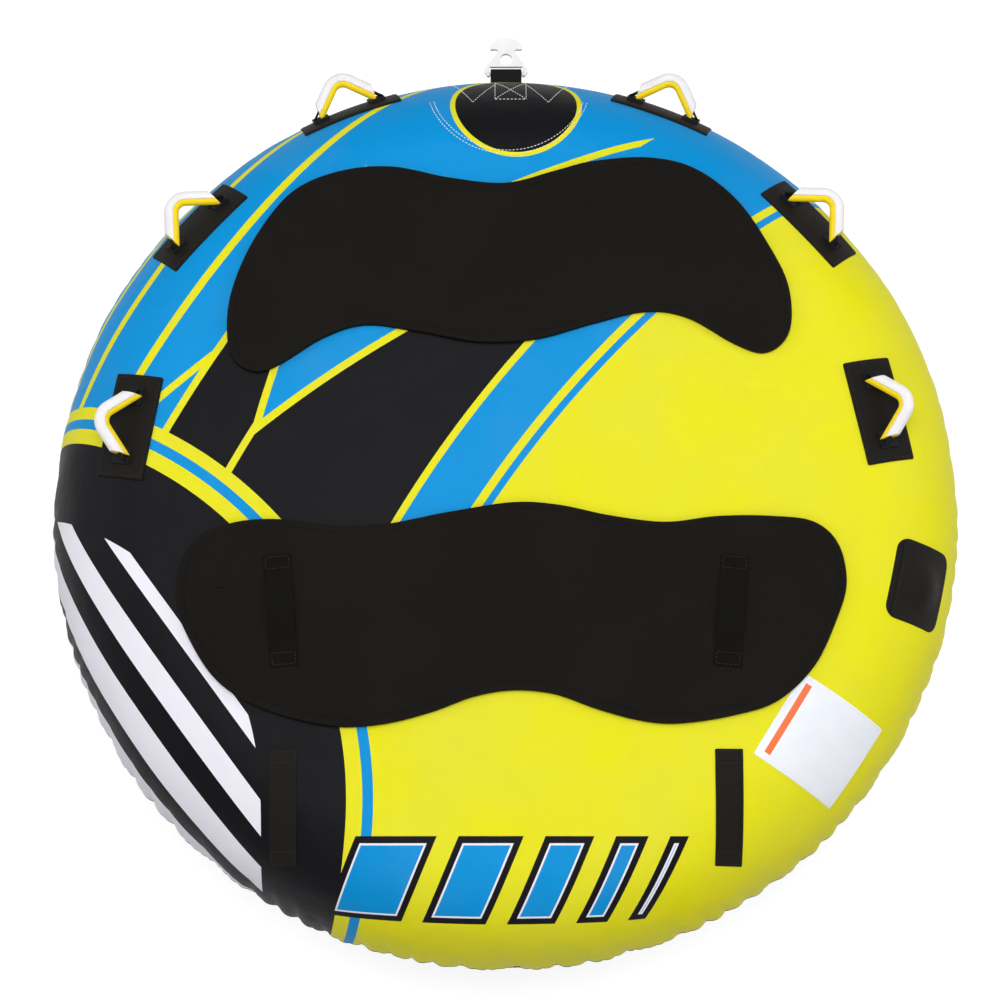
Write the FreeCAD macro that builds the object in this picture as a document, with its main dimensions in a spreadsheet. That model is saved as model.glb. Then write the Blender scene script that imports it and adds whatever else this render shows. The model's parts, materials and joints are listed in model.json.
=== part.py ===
import FreeCAD, Part
import math
import os
import Sketcher
from FreeCAD import Placement, Rotation, Vector

# Towable deck tube for three riders, inflated. Millimetres. Origin at the centre of the flat
# underside, +Z up, +Y forward to the tow point, +X to the right of a rider facing forward.

doc = FreeCAD.newDocument("TowableTube")
sheet = doc.addObject("Spreadsheet::Sheet", "Sizes")

SIZES = [
    # the inflated body
    ("tubeRadius", 890),
    ("rimRadius", 210),
    ("crownRise", 20),
    ("coverWall", 2),
    ("pipingRadius", 2),
    ("bladderGap", 2),
    ("bladderWall", 2),
    ("webPairs", 3),
    ("webPitch", 190),
    ("webThick", 2),
    ("webEndGap", 60),
    # foam pads and sewn webbing
    ("chestPadThick", 12),
    ("kneePadThick", 12),
    ("strapWidth", 52),
    ("strapLength", 212),
    ("strapThick", 2.5),
    ("strapCorner", 2),
    ("deckStrapSpan", 826),
    ("deckStrapBack", 605),
    ("padStrapSpan", 842),
    ("padStrapBack", 242),
    ("strapToeIn", 5),
    # handles
    ("midHandleInset", 159),
    ("upperHandleInset", 78),
    ("frontHandleInset", 28),
    ("patchLength", 206),
    ("patchWidth", 97),
    ("patchThick", 4),
    ("patchCorner", 4),
    ("handleSpan", 118),
    ("handleSlope", 45),
    ("handleBend", 30),
    ("gripWidth", 26),
    ("wrapThick", 2),
    ("wrapOpening", 10),
    ("coreWidth", 16),
    ("coreThick", 3),
    ("pivotHeight", 19),
    ("pivotClearance", 0.3),
    ("swingLimit", 60),
    ("rootWidth", 36),
    ("rootLength", 34),
    # inflation valve under its flap
    ("valveAngle", -13),
    ("valveInset", 75),
    ("portRadius", 32),
    ("flangeRadius", 31),
    ("flangeThick", 3),
    ("neckRadius", 17),
    ("neckBore", 11),
    ("neckHeight", 4),
    ("spiderThick", 2),
    ("spiderArm", 2.4),
    ("hubRadius", 3.5),
    ("stemRadius", 1.5),
    ("stemClearance", 0.1),
    ("membraneThick", 1),
    ("membraneClearance", 0.6),
    ("capRadius", 20),
    ("capThick", 3),
    ("capGap", 0.3),
    ("plugDepth", 3),
    ("plugClearance", 0.4),
    ("capGripLength", 28),
    ("capGripWidth", 6),
    ("capGripHeight", 3),
    ("flapLength", 130),
    ("flapWidth", 156),
    ("flapThick", 2),
    ("flapGap", 0.3),
    ("flapCorner", 24),
    ("domeRadius", 44),
    ("domeClearance", 5),
    ("hemWidth", 10),
    ("hemGap", 1.5),
    # blank label patch
    ("labelLength", 200),
    ("labelWidth", 180),
    ("labelThick", 1),
    ("labelAngle", -39.6),
    ("labelInset", 113),
    ("labelTurn", 6.6),
    # tow point
    ("towBaseRadius", 172),
    ("towBaseInset", 60),
    ("towBaseThick", 1.5),
    ("towBaseDrop", 60),
    ("towPatchWidth", 120),
    ("towPatchHeight", 70),
    ("towStrapWidth", 64),
    ("towStrapThick", 5),
    ("towStrapClearance", 0.4),
    ("hookReach", 36),
    ("hookBarRadius", 5),
    ("hookThick", 8),
    ("hookTail", 6),
    ("hookBodyWidth", 89),
    ("hookSlotEnd", 15),
    ("hookSideGap", 2),
    ("hookBarSeat", 3),
    ("hookNeckWidth", 35),
    ("hookNeckReach", 48),
    ("hookHeadWidth", 66),
    ("hookHeadStart", 54),
    ("hookHeadDroop", 2),
    ("hookHeadSide", 11),
    ("hookHeadCrown", 1),
    ("hookLength", 78),
    ("hookHoleRadius", 12.5),
    ("hookHoleReach", 31),
    ("hookCorner", 4),
    ("hookEdge", 1),
    # zipper and drain on the lower rear rim
    ("zipDrop", 42),
    ("zipSweep", 70),
    ("tapeWidth", 30),
    ("tapeThick", 1.5),
    ("chainWidth", 8),
    ("chainHeight", 2.5),
    ("chainMargin", 1),
    ("sliderLength", 24),
    ("sliderWidth", 16),
    ("sliderThick", 2.5),
    ("sliderGap", 0.4),
    ("sliderStart", 33),
    ("postThick", 1.6),
    ("postLength", 7),
    ("postHeight", 6),
    ("pinDrop", 2),
    ("pullPinRadius", 1.5),
    ("pullClearance", 0.3),
    ("pullLength", 34),
    ("pullWidth", 9),
    ("pullThick", 2.4),
    ("pullEye", 3.8),
    ("drainDrop", 14),
    ("drainSweep", 16),
    ("drainWidth", 44),
    ("drainThick", 1.5),
]
for row, (name, value) in enumerate(SIZES, start=1):
    sheet.set("A%d" % row, name)
    sheet.set("B%d" % row, str(value))
    sheet.setAlias("B%d" % row, name)
doc.recompute()


def size(name):
    return float(sheet.get(name))


# ---------------------------------------------------------------- the tube's own surface
# Half section of the tube: a flat bottom, a round rim, and a crown arc tangent to the rim arc.
tubeRadius = size("tubeRadius")
rimRadius = size("rimRadius")
deckRadius = tubeRadius - rimRadius
crownReach = (deckRadius ** 2 + size("crownRise") ** 2) / (2 * size("crownRise"))
crownCentre = rimRadius + size("crownRise") - crownReach
rimSide = Vector(deckRadius, 0, rimRadius - crownCentre).normalize()


def rimPoint(offset, degrees):
    """A point of the half section on the rim arc moved out by offset, degrees from straight up."""
    turn = math.radians(degrees)
    reach = rimRadius + offset
    return Vector(deckRadius + reach * math.sin(turn), 0, rimRadius + reach * math.cos(turn))


crownTilt = math.degrees(math.atan2(rimSide.x, rimSide.z))


def crownPoint(offset, share):
    """A point on the crown arc moved out by offset; share runs from the axis, 0, to the rim, 1."""
    turn = math.radians(crownTilt * share)
    reach = crownReach + rimRadius + offset
    return Vector(reach * math.sin(turn), 0, crownCentre + reach * math.cos(turn))


def sectionEdges(offset):
    """The half section from the underside's edge to the crown's top, moved out by offset."""
    rim = Part.Arc(rimPoint(offset, 180), rimPoint(offset, 95), rimPoint(offset, crownTilt))
    crown = Part.Arc(rimPoint(offset, crownTilt), crownPoint(offset, 0.5), crownPoint(offset, 0))
    return [rim.toShape(), crown.toShape()]


def skinLayer(low, high):
    """The solid between two offsets of the tube's surface, over the rim and the crown."""
    inner = sectionEdges(low)
    outer = sectionEdges(high)
    foot = Part.makeLine(rimPoint(low, 180), rimPoint(high, 180))
    top = Part.makeLine(crownPoint(low, 0), crownPoint(high, 0))
    wire = Part.Wire(Part.__sortEdges__(inner + outer + [foot, top]))
    return Part.Face(wire).revolve(Vector(0, 0, 0), Vector(0, 0, 1), 360)


def solidInside(offset):
    """The whole tube as one solid, its surface moved out by offset."""
    foot = Part.makeLine(Vector(0, 0, -offset), rimPoint(offset, 180))
    axis = Part.makeLine(crownPoint(offset, 0), Vector(0, 0, -offset))
    wire = Part.Wire(Part.__sortEdges__([foot] + sectionEdges(offset) + [axis]))
    return Part.Face(wire).revolve(Vector(0, 0, 0), Vector(0, 0, 1), 360)


def rimFrame(angle, tilt, height=0.0):
    """A place on the rim: angle round the tube from +X, tilt from straight up, height above the
    surface. Its X runs along the rim, its Y down the rim and its Z straight out of it."""
    around = Placement(Vector(0, 0, rimRadius), Rotation(Vector(0, 0, 1), angle - 90))
    out = Placement(Vector(0, deckRadius, 0), Rotation(Vector(1, 0, 0), -tilt))
    lift = Placement(Vector(0, 0, rimRadius + height), Rotation())
    return around.multiply(out).multiply(lift)


def tiltAt(radius):
    """The tilt of the rim's surface at a radius from the tube's axis."""
    return math.degrees(math.asin((radius - deckRadius) / rimRadius))


def roundedPrism(width, depth, corner, low, high):
    """An upright prism on a rectangle with round corners, centred on the local origin."""
    box = Part.makeBox(width, depth, high - low, Vector(-width / 2, -depth / 2, low))
    uprights = [e for e in box.Edges if abs(e.Vertexes[0].Z - e.Vertexes[-1].Z) > (high - low) / 2]
    return box.makeFillet(corner, uprights)


def addShape(label, shape):
    feature = doc.addObject("Part::Feature", label)
    feature.Label = label
    feature.Shape = shape
    return feature


def sewnPatch(label, place, width, depth, corner, low, high):
    """A flat piece of cloth or webbing sewn on the rim: it follows the tube's surface."""
    prism = roundedPrism(width, depth, corner, -rimRadius / 2, rimRadius / 4)
    prism.Placement = place
    return addShape(label, skinLayer(low, high).common(prism))


# ---------------------------------------------------------------- bodies drawn as sketches
def newBody(label):
    body = doc.addObject("PartDesign::Body", label)
    body.Label = label
    return body


def newSketch(body, plane, name):
    origin = [f for f in body.Origin.OriginFeatures if f.Role == plane][0]
    sketch = body.newObject("Sketcher::SketchObject", name)
    sketch.AttachmentSupport = [(origin, "")]
    sketch.MapMode = "FlatFace"
    return sketch


def bind(sketch, kind, arguments, start, expression):
    """Adds one dimension to a sketch and ties it to the sheet."""
    index = sketch.addConstraint(Sketcher.Constraint(kind, *arguments, start))
    sketch.setExpression("Constraints[%d]" % index, expression)


def drawSection(sketch, inset, insetText, foot, footText):
    """The closed half section of the tube in the XZ plane, inset from its surface. Its foot is
    the height where the rim arc starts; at the inset itself the underside's flat is drawn too."""
    centre = Vector(deckRadius, rimRadius, 0)
    radius = rimRadius - inset
    flat = foot is None
    startTurn = -math.pi / 2 if flat else math.asin((foot - rimRadius) / radius)
    endTurn = math.pi / 2 - math.radians(crownTilt)
    rim = sketch.addGeometry(Part.ArcOfCircle(
        Part.Circle(centre, Vector(0, 0, 1), radius), startTurn, endTurn))
    crown = sketch.addGeometry(Part.ArcOfCircle(
        Part.Circle(Vector(0, crownCentre, 0), Vector(0, 0, 1), crownReach + radius),
        endTurn, math.pi / 2))
    top = rimRadius + size("crownRise") + radius
    low = inset if flat else foot
    start = Vector(centre.x + radius * math.cos(startTurn), low, 0)
    axis = sketch.addGeometry(Part.LineSegment(Vector(0, top, 0), Vector(0, low, 0)))
    floor = sketch.addGeometry(Part.LineSegment(Vector(0, low, 0), start))
    sketch.addConstraint([
        Sketcher.Constraint("Tangent", rim, 2, crown, 1),
        Sketcher.Constraint("Coincident", crown, 2, axis, 1),
        Sketcher.Constraint("Coincident", axis, 2, floor, 1),
        Sketcher.Constraint("PointOnObject", axis, 1, -2),
        Sketcher.Constraint("PointOnObject", axis, 2, -2),
        Sketcher.Constraint("PointOnObject", crown, 3, -2),
        Sketcher.Constraint("Horizontal", floor),
    ])
    if flat:
        sketch.addConstraint(Sketcher.Constraint("Tangent", floor, 2, rim, 1))
    else:
        sketch.addConstraint(Sketcher.Constraint("Coincident", floor, 2, rim, 1))
    bind(sketch, "Radius", (rim,), radius, "Sizes.rimRadius - (%s)" % insetText)
    bind(sketch, "DistanceX", (-1, 1, rim, 3), centre.x, "Sizes.tubeRadius - Sizes.rimRadius")
    bind(sketch, "DistanceY", (-1, 1, rim, 3), centre.y, "Sizes.rimRadius")
    bind(sketch, "DistanceY", (-1, 1, crown, 2), top,
         "2 * Sizes.rimRadius + Sizes.crownRise - (%s)" % insetText)
    if not flat:
        bind(sketch, "DistanceY", (-1, 1, floor, 1), low, footText)


def spin(body, kind, name, sketch, angle=360):
    feature = body.newObject(kind, name)
    feature.Profile = (sketch, [""])
    feature.ReferenceAxis = (sketch, ["V_Axis"])
    feature.Angle = angle
    sketch.Visibility = False
    return feature


def hollowSection(label, outer, inner, foot):
    """A shell of revolution: the tube's section turned about Z, less the same section inset."""
    body = newBody(label)
    skin = newSketch(body, "XZ_Plane", label + "_outside")
    drawSection(skin, outer[0], outer[1], foot[0], foot[1])
    spin(body, "PartDesign::Revolution", label + "_skin", skin)
    doc.recompute()
    cavity = newSketch(body, "XZ_Plane", label + "_inside")
    drawSection(cavity, inner[0], inner[1], foot[2], foot[3])
    spin(body, "PartDesign::Groove", label + "_hollow", cavity)
    doc.recompute()
    return body


def cutPort(label, body, tool):
    """Takes a port out of a finished body and keeps the body's label for the result."""
    body.Label = label + "_blank"
    port = doc.addObject("Part::Cut", label)
    port.Label = label
    port.Base = body
    port.Tool = tool
    return port


# ---------------------------------------------------------------- inflation valve, its frame
valveTilt = tiltAt(tubeRadius - size("valveInset"))
valveFrame = rimFrame(size("valveAngle"), valveTilt)


def portTool(name, radiusName):
    """An upright cylinder through the skins at the valve."""
    tool = doc.addObject("Part::Cylinder", name)
    tool.setExpression("Radius", "Sizes." + radiusName)
    tool.setExpression("Height", "Sizes.rimRadius")
    tool.Placement = valveFrame.multiply(Placement(Vector(0, 0, -rimRadius / 2), Rotation()))
    return tool


# ---------------------------------------------------------------- cover and bladder
seamTop = rimRadius + size("pipingRadius")
seamLow = rimRadius - size("pipingRadius")
seamTopText = "Sizes.rimRadius + Sizes.pipingRadius"
coverInset = size("coverWall")

coverTop = hollowSection("cover_top", (0, "0"), (coverInset, "Sizes.coverWall"),
                         (seamTop, seamTopText, seamTop, seamTopText))
cutPort("cover_top", coverTop, portTool("cover_port", "portRadius"))


def drawBottom(sketch, inset, insetText, seamText):
    """The half section below the seam: the flat underside and the lower rim arc."""
    radius = rimRadius - inset
    endTurn = -math.asin((rimRadius - seamLow) / radius)
    centre = Vector(deckRadius, rimRadius, 0)
    end = Vector(centre.x + radius * math.cos(endTurn), seamLow, 0)
    floor = sketch.addGeometry(Part.LineSegment(Vector(0, inset, 0), Vector(deckRadius, inset, 0)))
    rim = sketch.addGeometry(Part.ArcOfCircle(
        Part.Circle(centre, Vector(0, 0, 1), radius), -math.pi / 2, endTurn))
    lid = sketch.addGeometry(Part.LineSegment(end, Vector(0, seamLow, 0)))
    axis = sketch.addGeometry(Part.LineSegment(Vector(0, seamLow, 0), Vector(0, inset, 0)))
    sketch.addConstraint([
        Sketcher.Constraint("Tangent", floor, 2, rim, 1),
        Sketcher.Constraint("Coincident", rim, 2, lid, 1),
        Sketcher.Constraint("Coincident", lid, 2, axis, 1),
        Sketcher.Constraint("Coincident", axis, 2, floor, 1),
        Sketcher.Constraint("PointOnObject", axis, 1, -2),
        Sketcher.Constraint("PointOnObject", axis, 2, -2),
        Sketcher.Constraint("Horizontal", floor),
        Sketcher.Constraint("Horizontal", lid),
    ])
    bind(sketch, "Radius", (rim,), radius, "Sizes.rimRadius - (%s)" % insetText)
    bind(sketch, "DistanceX", (-1, 1, rim, 3), centre.x, "Sizes.tubeRadius - Sizes.rimRadius")
    bind(sketch, "DistanceY", (-1, 1, rim, 3), centre.y, "Sizes.rimRadius")
    bind(sketch, "DistanceY", (-1, 1, lid, 1), seamLow, seamText)


coverBottom = newBody("cover_bottom")
bottomSkin = newSketch(coverBottom, "XZ_Plane", "cover_bottom_outside")
seamLowText = "Sizes.rimRadius - Sizes.pipingRadius"
drawBottom(bottomSkin, 0, "0", seamLowText)
spin(coverBottom, "PartDesign::Revolution", "cover_bottom_skin", bottomSkin)
doc.recompute()
bottomHollow = newSketch(coverBottom, "XZ_Plane", "cover_bottom_inside")
drawBottom(bottomHollow, coverInset, "Sizes.coverWall", seamLowText)
spin(coverBottom, "PartDesign::Groove", "cover_bottom_hollow", bottomHollow)
doc.recompute()

piping = doc.addObject("Part::Torus", "rim_piping")
piping.Label = "rim_piping"
piping.setExpression("Radius1", "Sizes.tubeRadius")
piping.setExpression("Radius2", "Sizes.pipingRadius")
piping.setExpression("Placement.Base.z", "Sizes.rimRadius")

bladderInset = coverInset + size("bladderGap")
bladderText = "Sizes.coverWall + Sizes.bladderGap"
airInset = bladderInset + size("bladderWall")
airText = bladderText + " + Sizes.bladderWall"
bladder = hollowSection("bladder", (bladderInset, bladderText), (airInset, airText),
                        (None, "", None, ""))
cutPort("bladder", bladder, portTool("bladder_port", "neckBore"))


def makeWebs():
    """Upright strips that tie the bladder's top sheet to its bottom sheet, front to back."""
    pairs = int(size("webPairs"))
    thick = size("webThick")
    reach = deckRadius - size("webEndGap")
    strips = []
    for index in range(-pairs, pairs):
        across = (index + 0.5) * size("webPitch")
        half = math.sqrt(reach ** 2 - across ** 2)
        corner = Vector(across - thick / 2, -half, 0)
        strips.append(Part.makeBox(thick, 2 * half, 3 * rimRadius, corner))
    return addShape("bladder_webs", solidInside(-airInset).common(Part.makeCompound(strips)))


makeWebs()


# ---------------------------------------------------------------- foam pads
# Each outline runs round the pad as a closed smooth curve through these places on the deck.
CHEST_PAD = [
    (0, 606), (-110, 617), (-225, 641), (-330, 631), (-420, 588), (-490, 490), (-530, 385),
    (-536, 300), (-520, 245), (-478, 222), (-430, 239), (-350, 290), (-268, 315), (-160, 299),
    (-50, 279), (60, 286), (170, 318), (270, 342), (350, 330), (440, 278), (500, 262),
    (545, 305), (546, 395), (510, 480), (450, 575), (370, 640), (280, 661), (170, 652),
    (100, 633),
]
KNEE_PAD = [
    (13, -36), (-110, -55), (-230, -78), (-330, -80), (-430, -67), (-510, -72), (-575, -98),
    (-612, -150), (-616, -230), (-597, -285), (-550, -360), (-490, -408), (-414, -439),
    (-320, -459), (-230, -455), (-140, -433), (-60, -404), (13, -392), (90, -399),
    (170, -427), (250, -448), (320, -453), (420, -438), (505, -410), (575, -345),
    (620, -255), (640, -185), (626, -112), (580, -70), (500, -60), (400, -61), (300, -73),
    (196, -61), (100, -41),
]


def makePad(label, outline, thick):
    """A foam sheet cut to an outline and glued to the deck, which it follows."""
    curve = Part.BSplineCurve()
    curve.interpolate([Vector(x, y, rimRadius) for x, y in outline], PeriodicFlag=True)
    prism = Part.Face(Part.Wire(curve.toShape())).extrude(Vector(0, 0, 2 * rimRadius))
    return addShape(label, skinLayer(0, thick).common(prism))


makePad("chest_pad", CHEST_PAD, size("chestPadThick"))
makePad("knee_pad", KNEE_PAD, size("kneePadThick"))


def makeStrap(label, side, span, back, base):
    """Webbing sewn flat, front to back, on the deck or on a pad of the thickness base."""
    prism = roundedPrism(size("strapWidth"), size("strapLength"), size("strapCorner"),
                         rimRadius, 3 * rimRadius)
    turn = Rotation(Vector(0, 0, 1), -side * size("strapToeIn") if base else 0)
    prism.Placement = Placement(Vector(side * span / 2, -back, 0), turn)
    return addShape(label, skinLayer(base, base + size("strapThick")).common(prism))


for side, word in ((-1, "left"), (1, "right")):
    makeStrap("deck_strap_" + word, side, size("deckStrapSpan"), size("deckStrapBack"), 0)
    makeStrap("pad_strap_" + word, side, size("padStrapSpan"), size("padStrapBack"),
              size("kneePadThick"))

# ---------------------------------------------------------------- label patch, left blank
labelPlace = rimFrame(size("labelAngle"), tiltAt(tubeRadius - size("labelInset")))
labelPlace = labelPlace.multiply(Placement(Vector(), Rotation(Vector(0, 0, 1), size("labelTurn"))))
sewnPatch("label_patch", labelPlace, size("labelWidth"), size("labelLength"),
          size("strapCorner"), 0, size("labelThick"))


# ---------------------------------------------------------------- handles
# name, angle round the tube, how far the feet are in from the tube's edge, lean outward at rest
HANDLES = [
    ("mid_left", 170.5, "midHandleInset", 53),
    ("mid_right", 12, "midHandleInset", 53),
    ("upper_left", 138.3, "upperHandleInset", 45),
    ("upper_right", 42.4, "upperHandleInset", 45),
    ("front_left", 111.5, "frontHandleInset", 20),
    ("front_right", 68.5, "frontHandleInset", 20),
]
gripHalf = size("gripWidth") / 2
pivotHeight = size("pivotHeight")


def loopPath():
    """The line of a handle in its own plane: two sloping legs and a round top. The feet lie on
    the pivot axis, which is the local X axis; the legs run on past it to be trimmed."""
    slope = math.radians(size("handleSlope"))
    foot = size("handleSpan") / 2
    bend = size("handleBend")
    peak = foot * math.tan(slope)
    centre = peak - bend / math.cos(slope)
    touch = Vector(bend * math.sin(slope), 0, centre + bend * math.cos(slope))
    over = size("gripWidth")
    end = Vector(foot + over * math.cos(slope), 0, -over * math.sin(slope))
    mirror = Vector(-touch.x, 0, touch.z)
    return Part.Wire([
        Part.makeLine(Vector(-end.x, 0, end.z), mirror),
        Part.Arc(mirror, Vector(0, 0, centre + bend), touch).toShape(),
        Part.makeLine(touch, end),
    ])


def placedSection(points):
    """A closed section drawn across the start of the path. The first number of each point runs
    across the loop's plane, the second away from the middle of the loop."""
    slope = math.radians(size("handleSlope"))
    path = loopPath()
    start = path.OrderedVertexes[0].Point
    outward = Vector(-math.sin(slope), 0, math.cos(slope))
    corners = [start + Vector(0, across, 0) + outward * out for across, out in points]
    return Part.makePolygon(corners + [corners[0]])


def sweep(points):
    return loopPath().makePipeShell([placedSection(points)], True, False)


def octagon(half):
    """A square of half width half with its corners cut to an even octagon."""
    cut = half * math.tan(math.pi / 8)
    return [(half, -cut), (half, cut), (cut, half), (-cut, half),
            (-half, cut), (-half, -cut), (-cut, -half), (cut, -half)]


def legTrim():
    """Keeps the loop above the pivot axis and rounds its feet about that axis."""
    wide = 2 * size("handleSpan")
    above = Part.makeBox(2 * wide, wide, wide, Vector(-wide, -wide / 2, 0))
    round_ = Part.makeCylinder(gripHalf, 2 * wide, Vector(-wide, 0, 0), Vector(1, 0, 0))
    return above.fuse(round_)


def makeHandleSolids():
    """The core strap, the foam grip round it and the wrap, which is open along its inner side."""
    foamHalf = gripHalf - size("wrapThick")
    coreAcross = size("coreWidth") / 2
    coreOut = size("coreThick") / 2
    core = [(coreAcross, -coreOut), (coreAcross, coreOut), (-coreAcross, coreOut),
            (-coreAcross, -coreOut)]
    strap = sweep(core)
    foam = sweep(octagon(foamHalf)).cut(strap)
    shell = sweep(octagon(gripHalf)).cut(sweep(octagon(foamHalf)))
    cut = size("wrapOpening") / 2
    gap = sweep([(cut, -gripHalf - 1), (cut, 0), (-cut, 0), (-cut, -gripHalf - 1)])
    trim = legTrim()
    return [s.common(trim) for s in (strap, foam, shell.cut(gap))]


handleSolids = makeHandleSolids()


def makeRoots(place):
    """The two webbing tabs sewn on the patch. Each is hollowed round the pivot axis, where the
    webbing of the real handle flexes."""
    reach = gripHalf + size("pivotClearance")
    crest = pivotHeight - gripHalf * math.sin(math.radians(size("swingLimit")))
    crest -= size("pivotClearance")
    tabs = []
    for side in (-1, 1):
        corner = Vector(side * size("handleSpan") / 2 - size("rootLength") / 2,
                        -size("rootWidth") / 2, -size("patchThick") * 2)
        tab = Part.makeBox(size("rootLength"), size("rootWidth"),
                           crest + size("patchThick") * 2, corner)
        scoop = Part.makeCylinder(reach, size("rootLength"),
                                  Vector(corner.x, 0, pivotHeight), Vector(1, 0, 0))
        tabs.append(tab.cut(scoop))
    roots = Part.makeCompound(tabs)
    roots.Placement = place
    return roots.cut(solidInside(size("patchThick")))


for word, angle, inset, lean in HANDLES:
    tilt = tiltAt(tubeRadius - size(inset))
    place = rimFrame(angle, tilt)
    sewnPatch("handle_patch_" + word, place, size("patchLength"), size("patchWidth"),
              size("patchCorner"), 0, size("patchThick"))
    addShape("handle_roots_" + word, makeRoots(place))
    loopPlace = rimFrame(angle, tilt, pivotHeight)
    loopPlace = loopPlace.multiply(Placement(Vector(), Rotation(Vector(1, 0, 0), -lean)))
    for kind, solid in zip(("handle_strap_", "handle_foam_", "handle_wrap_"), handleSolids):
        piece = addShape(kind + word, solid)
        piece.Placement = loopPlace


# ---------------------------------------------------------------- inflation valve
def valvePlace(height):
    return valveFrame.multiply(Placement(Vector(0, 0, height), Rotation()))


def makeValveBase():
    """A flange welded to the bladder and a neck with a spider that carries the membrane."""
    low = -bladderInset
    flange = Part.makeCylinder(size("flangeRadius"), rimRadius / 2, Vector(0, 0, -rimRadius / 4))
    flange.Placement = valveFrame
    flange = flange.common(skinLayer(low, low + size("flangeThick")))
    neck = Part.makeCylinder(size("neckRadius"), size("neckHeight") - low, Vector(0, 0, low))
    neck.Placement = valveFrame
    bore = Part.makeCylinder(size("neckBore"), rimRadius / 2, Vector(0, 0, -rimRadius / 4))
    bore.Placement = valveFrame
    arm = size("spiderArm")
    spider = Part.makeCylinder(size("hubRadius"), size("spiderThick"), Vector(0, 0, low))
    for turn in (0, 60, 120):
        span = 2 * size("neckBore") + size("spiderArm")
        bar = Part.makeBox(span, arm, size("spiderThick"), Vector(-span / 2, -arm / 2, low))
        bar.rotate(Vector(0, 0, 0), Vector(0, 0, 1), turn)
        spider = spider.fuse(bar)
    stemHole = size("stemRadius") + size("stemClearance")
    spider = spider.cut(Part.makeCylinder(stemHole, 2 * size("spiderThick"), Vector(0, 0, low)))
    spider.Placement = valveFrame
    return addShape("valve_base", flange.fuse(neck.cut(solidInside(low))).cut(bore).fuse(spider))


def makeMembrane():
    """A thin disc under the spider, held by a stem through the hub. Air pushes it open one way."""
    low = -bladderInset
    disc = size("neckBore") - size("membraneClearance")
    plate = Part.makeCylinder(disc, size("membraneThick"), Vector(0, 0, low - size("membraneThick")))
    stem = Part.makeCylinder(size("stemRadius"), size("spiderThick"), Vector(0, 0, low))
    head = Part.makeCylinder(2 * size("stemRadius"), size("membraneThick"),
                             Vector(0, 0, low + size("spiderThick")))
    piece = addShape("valve_membrane", plate.fuse(stem).fuse(head))
    piece.Placement = valveFrame


makeValveBase()
makeMembrane()


def circlePad(body, name, radiusName, lengthName, down):
    """A round boss on the body's XY plane, up or down from it."""
    sketch = newSketch(body, "XY_Plane", name + "_outline")
    ring = sketch.addGeometry(Part.Circle(Vector(0, 0, 0), Vector(0, 0, 1), 10))
    sketch.addConstraint(Sketcher.Constraint("Coincident", ring, 3, -1, 1))
    bind(sketch, "Radius", (ring,), 10, radiusName)
    pad = body.newObject("PartDesign::Pad", name)
    pad.Profile = (sketch, [""])
    pad.setExpression("Length", lengthName)
    pad.Reversed = down
    sketch.Visibility = False
    return pad


def makeValveCap():
    """A screw cap: a disc over the neck, a plug in its bore and a bar to grip on top."""
    body = newBody("valve_cap")
    circlePad(body, "valve_cap_disc", "Sizes.capRadius", "Sizes.capThick", False)
    circlePad(body, "valve_cap_plug", "Sizes.neckBore - Sizes.plugClearance",
              "Sizes.plugDepth", True)
    bar = body.newObject("PartDesign::AdditiveBox", "valve_cap_bar")
    bar.setExpression("Length", "Sizes.capGripLength")
    bar.setExpression("Width", "Sizes.capGripWidth")
    bar.setExpression("Height", "Sizes.capThick + Sizes.capGripHeight")
    bar.setExpression("Placement.Base.x", "-Sizes.capGripLength / 2")
    bar.setExpression("Placement.Base.y", "-Sizes.capGripWidth / 2")
    doc.recompute()
    body.Placement = valvePlace(size("neckHeight") + size("capGap"))
    return body


makeValveCap()

# The flap lies on the cover and rises in a shallow dome over the cap.
flapLow = size("flapGap")
flapHigh = flapLow + size("flapThick")
capTop = size("neckHeight") + size("capGap") + size("capThick") + size("capGripHeight")


def makeFlap():
    prism = roundedPrism(size("flapWidth"), size("flapLength"), size("flapCorner"),
                         -rimRadius / 2, rimRadius / 4)
    prism.Placement = valveFrame
    panel = skinLayer(flapLow, flapHigh).common(prism)
    rise = capTop + size("domeClearance")
    base = size("domeRadius")
    ball = (base ** 2 + rise ** 2) / (2 * rise)
    centre = valveFrame.multVec(Vector(0, 0, rise - ball))
    dome = Part.makeSphere(ball + size("flapThick"), centre).cut(solidInside(flapLow))
    return addShape("valve_flap", panel.fuse(dome).cut(Part.makeSphere(ball, centre)))


makeFlap()
flapEdgeTilt = valveTilt - math.degrees(
    math.asin(size("flapLength") / 2 / (rimRadius + flapHigh)))
hemTurn = math.degrees((size("hemWidth") / 2 + size("hemGap")) / rimRadius)
sewnPatch("flap_hem", rimFrame(size("valveAngle"), flapEdgeTilt - hemTurn),
          size("flapWidth") - 2 * size("flapCorner"), size("hemWidth"), 1, 0, size("flapThick"))

# ---------------------------------------------------------------- tow point
# The strap loop comes out of the rim at its widest line and holds the hook's round bar.
hookPlace = Placement(Vector(0, tubeRadius + size("hookReach"), rimRadius), Rotation())

towDisc = Part.makeCylinder(size("towBaseRadius"), 3 * rimRadius,
                            Vector(0, tubeRadius - size("towBaseInset"), rimRadius - size("towBaseDrop")))
addShape("tow_reinforcement",
         skinLayer(-coverInset - size("towBaseThick"), -coverInset).common(towDisc))
sewnPatch("tow_patch", rimFrame(90, 90), size("towPatchWidth"), size("towPatchHeight"),
          size("patchCorner"), size("pipingRadius"), size("pipingRadius") + size("patchThick"))


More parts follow.
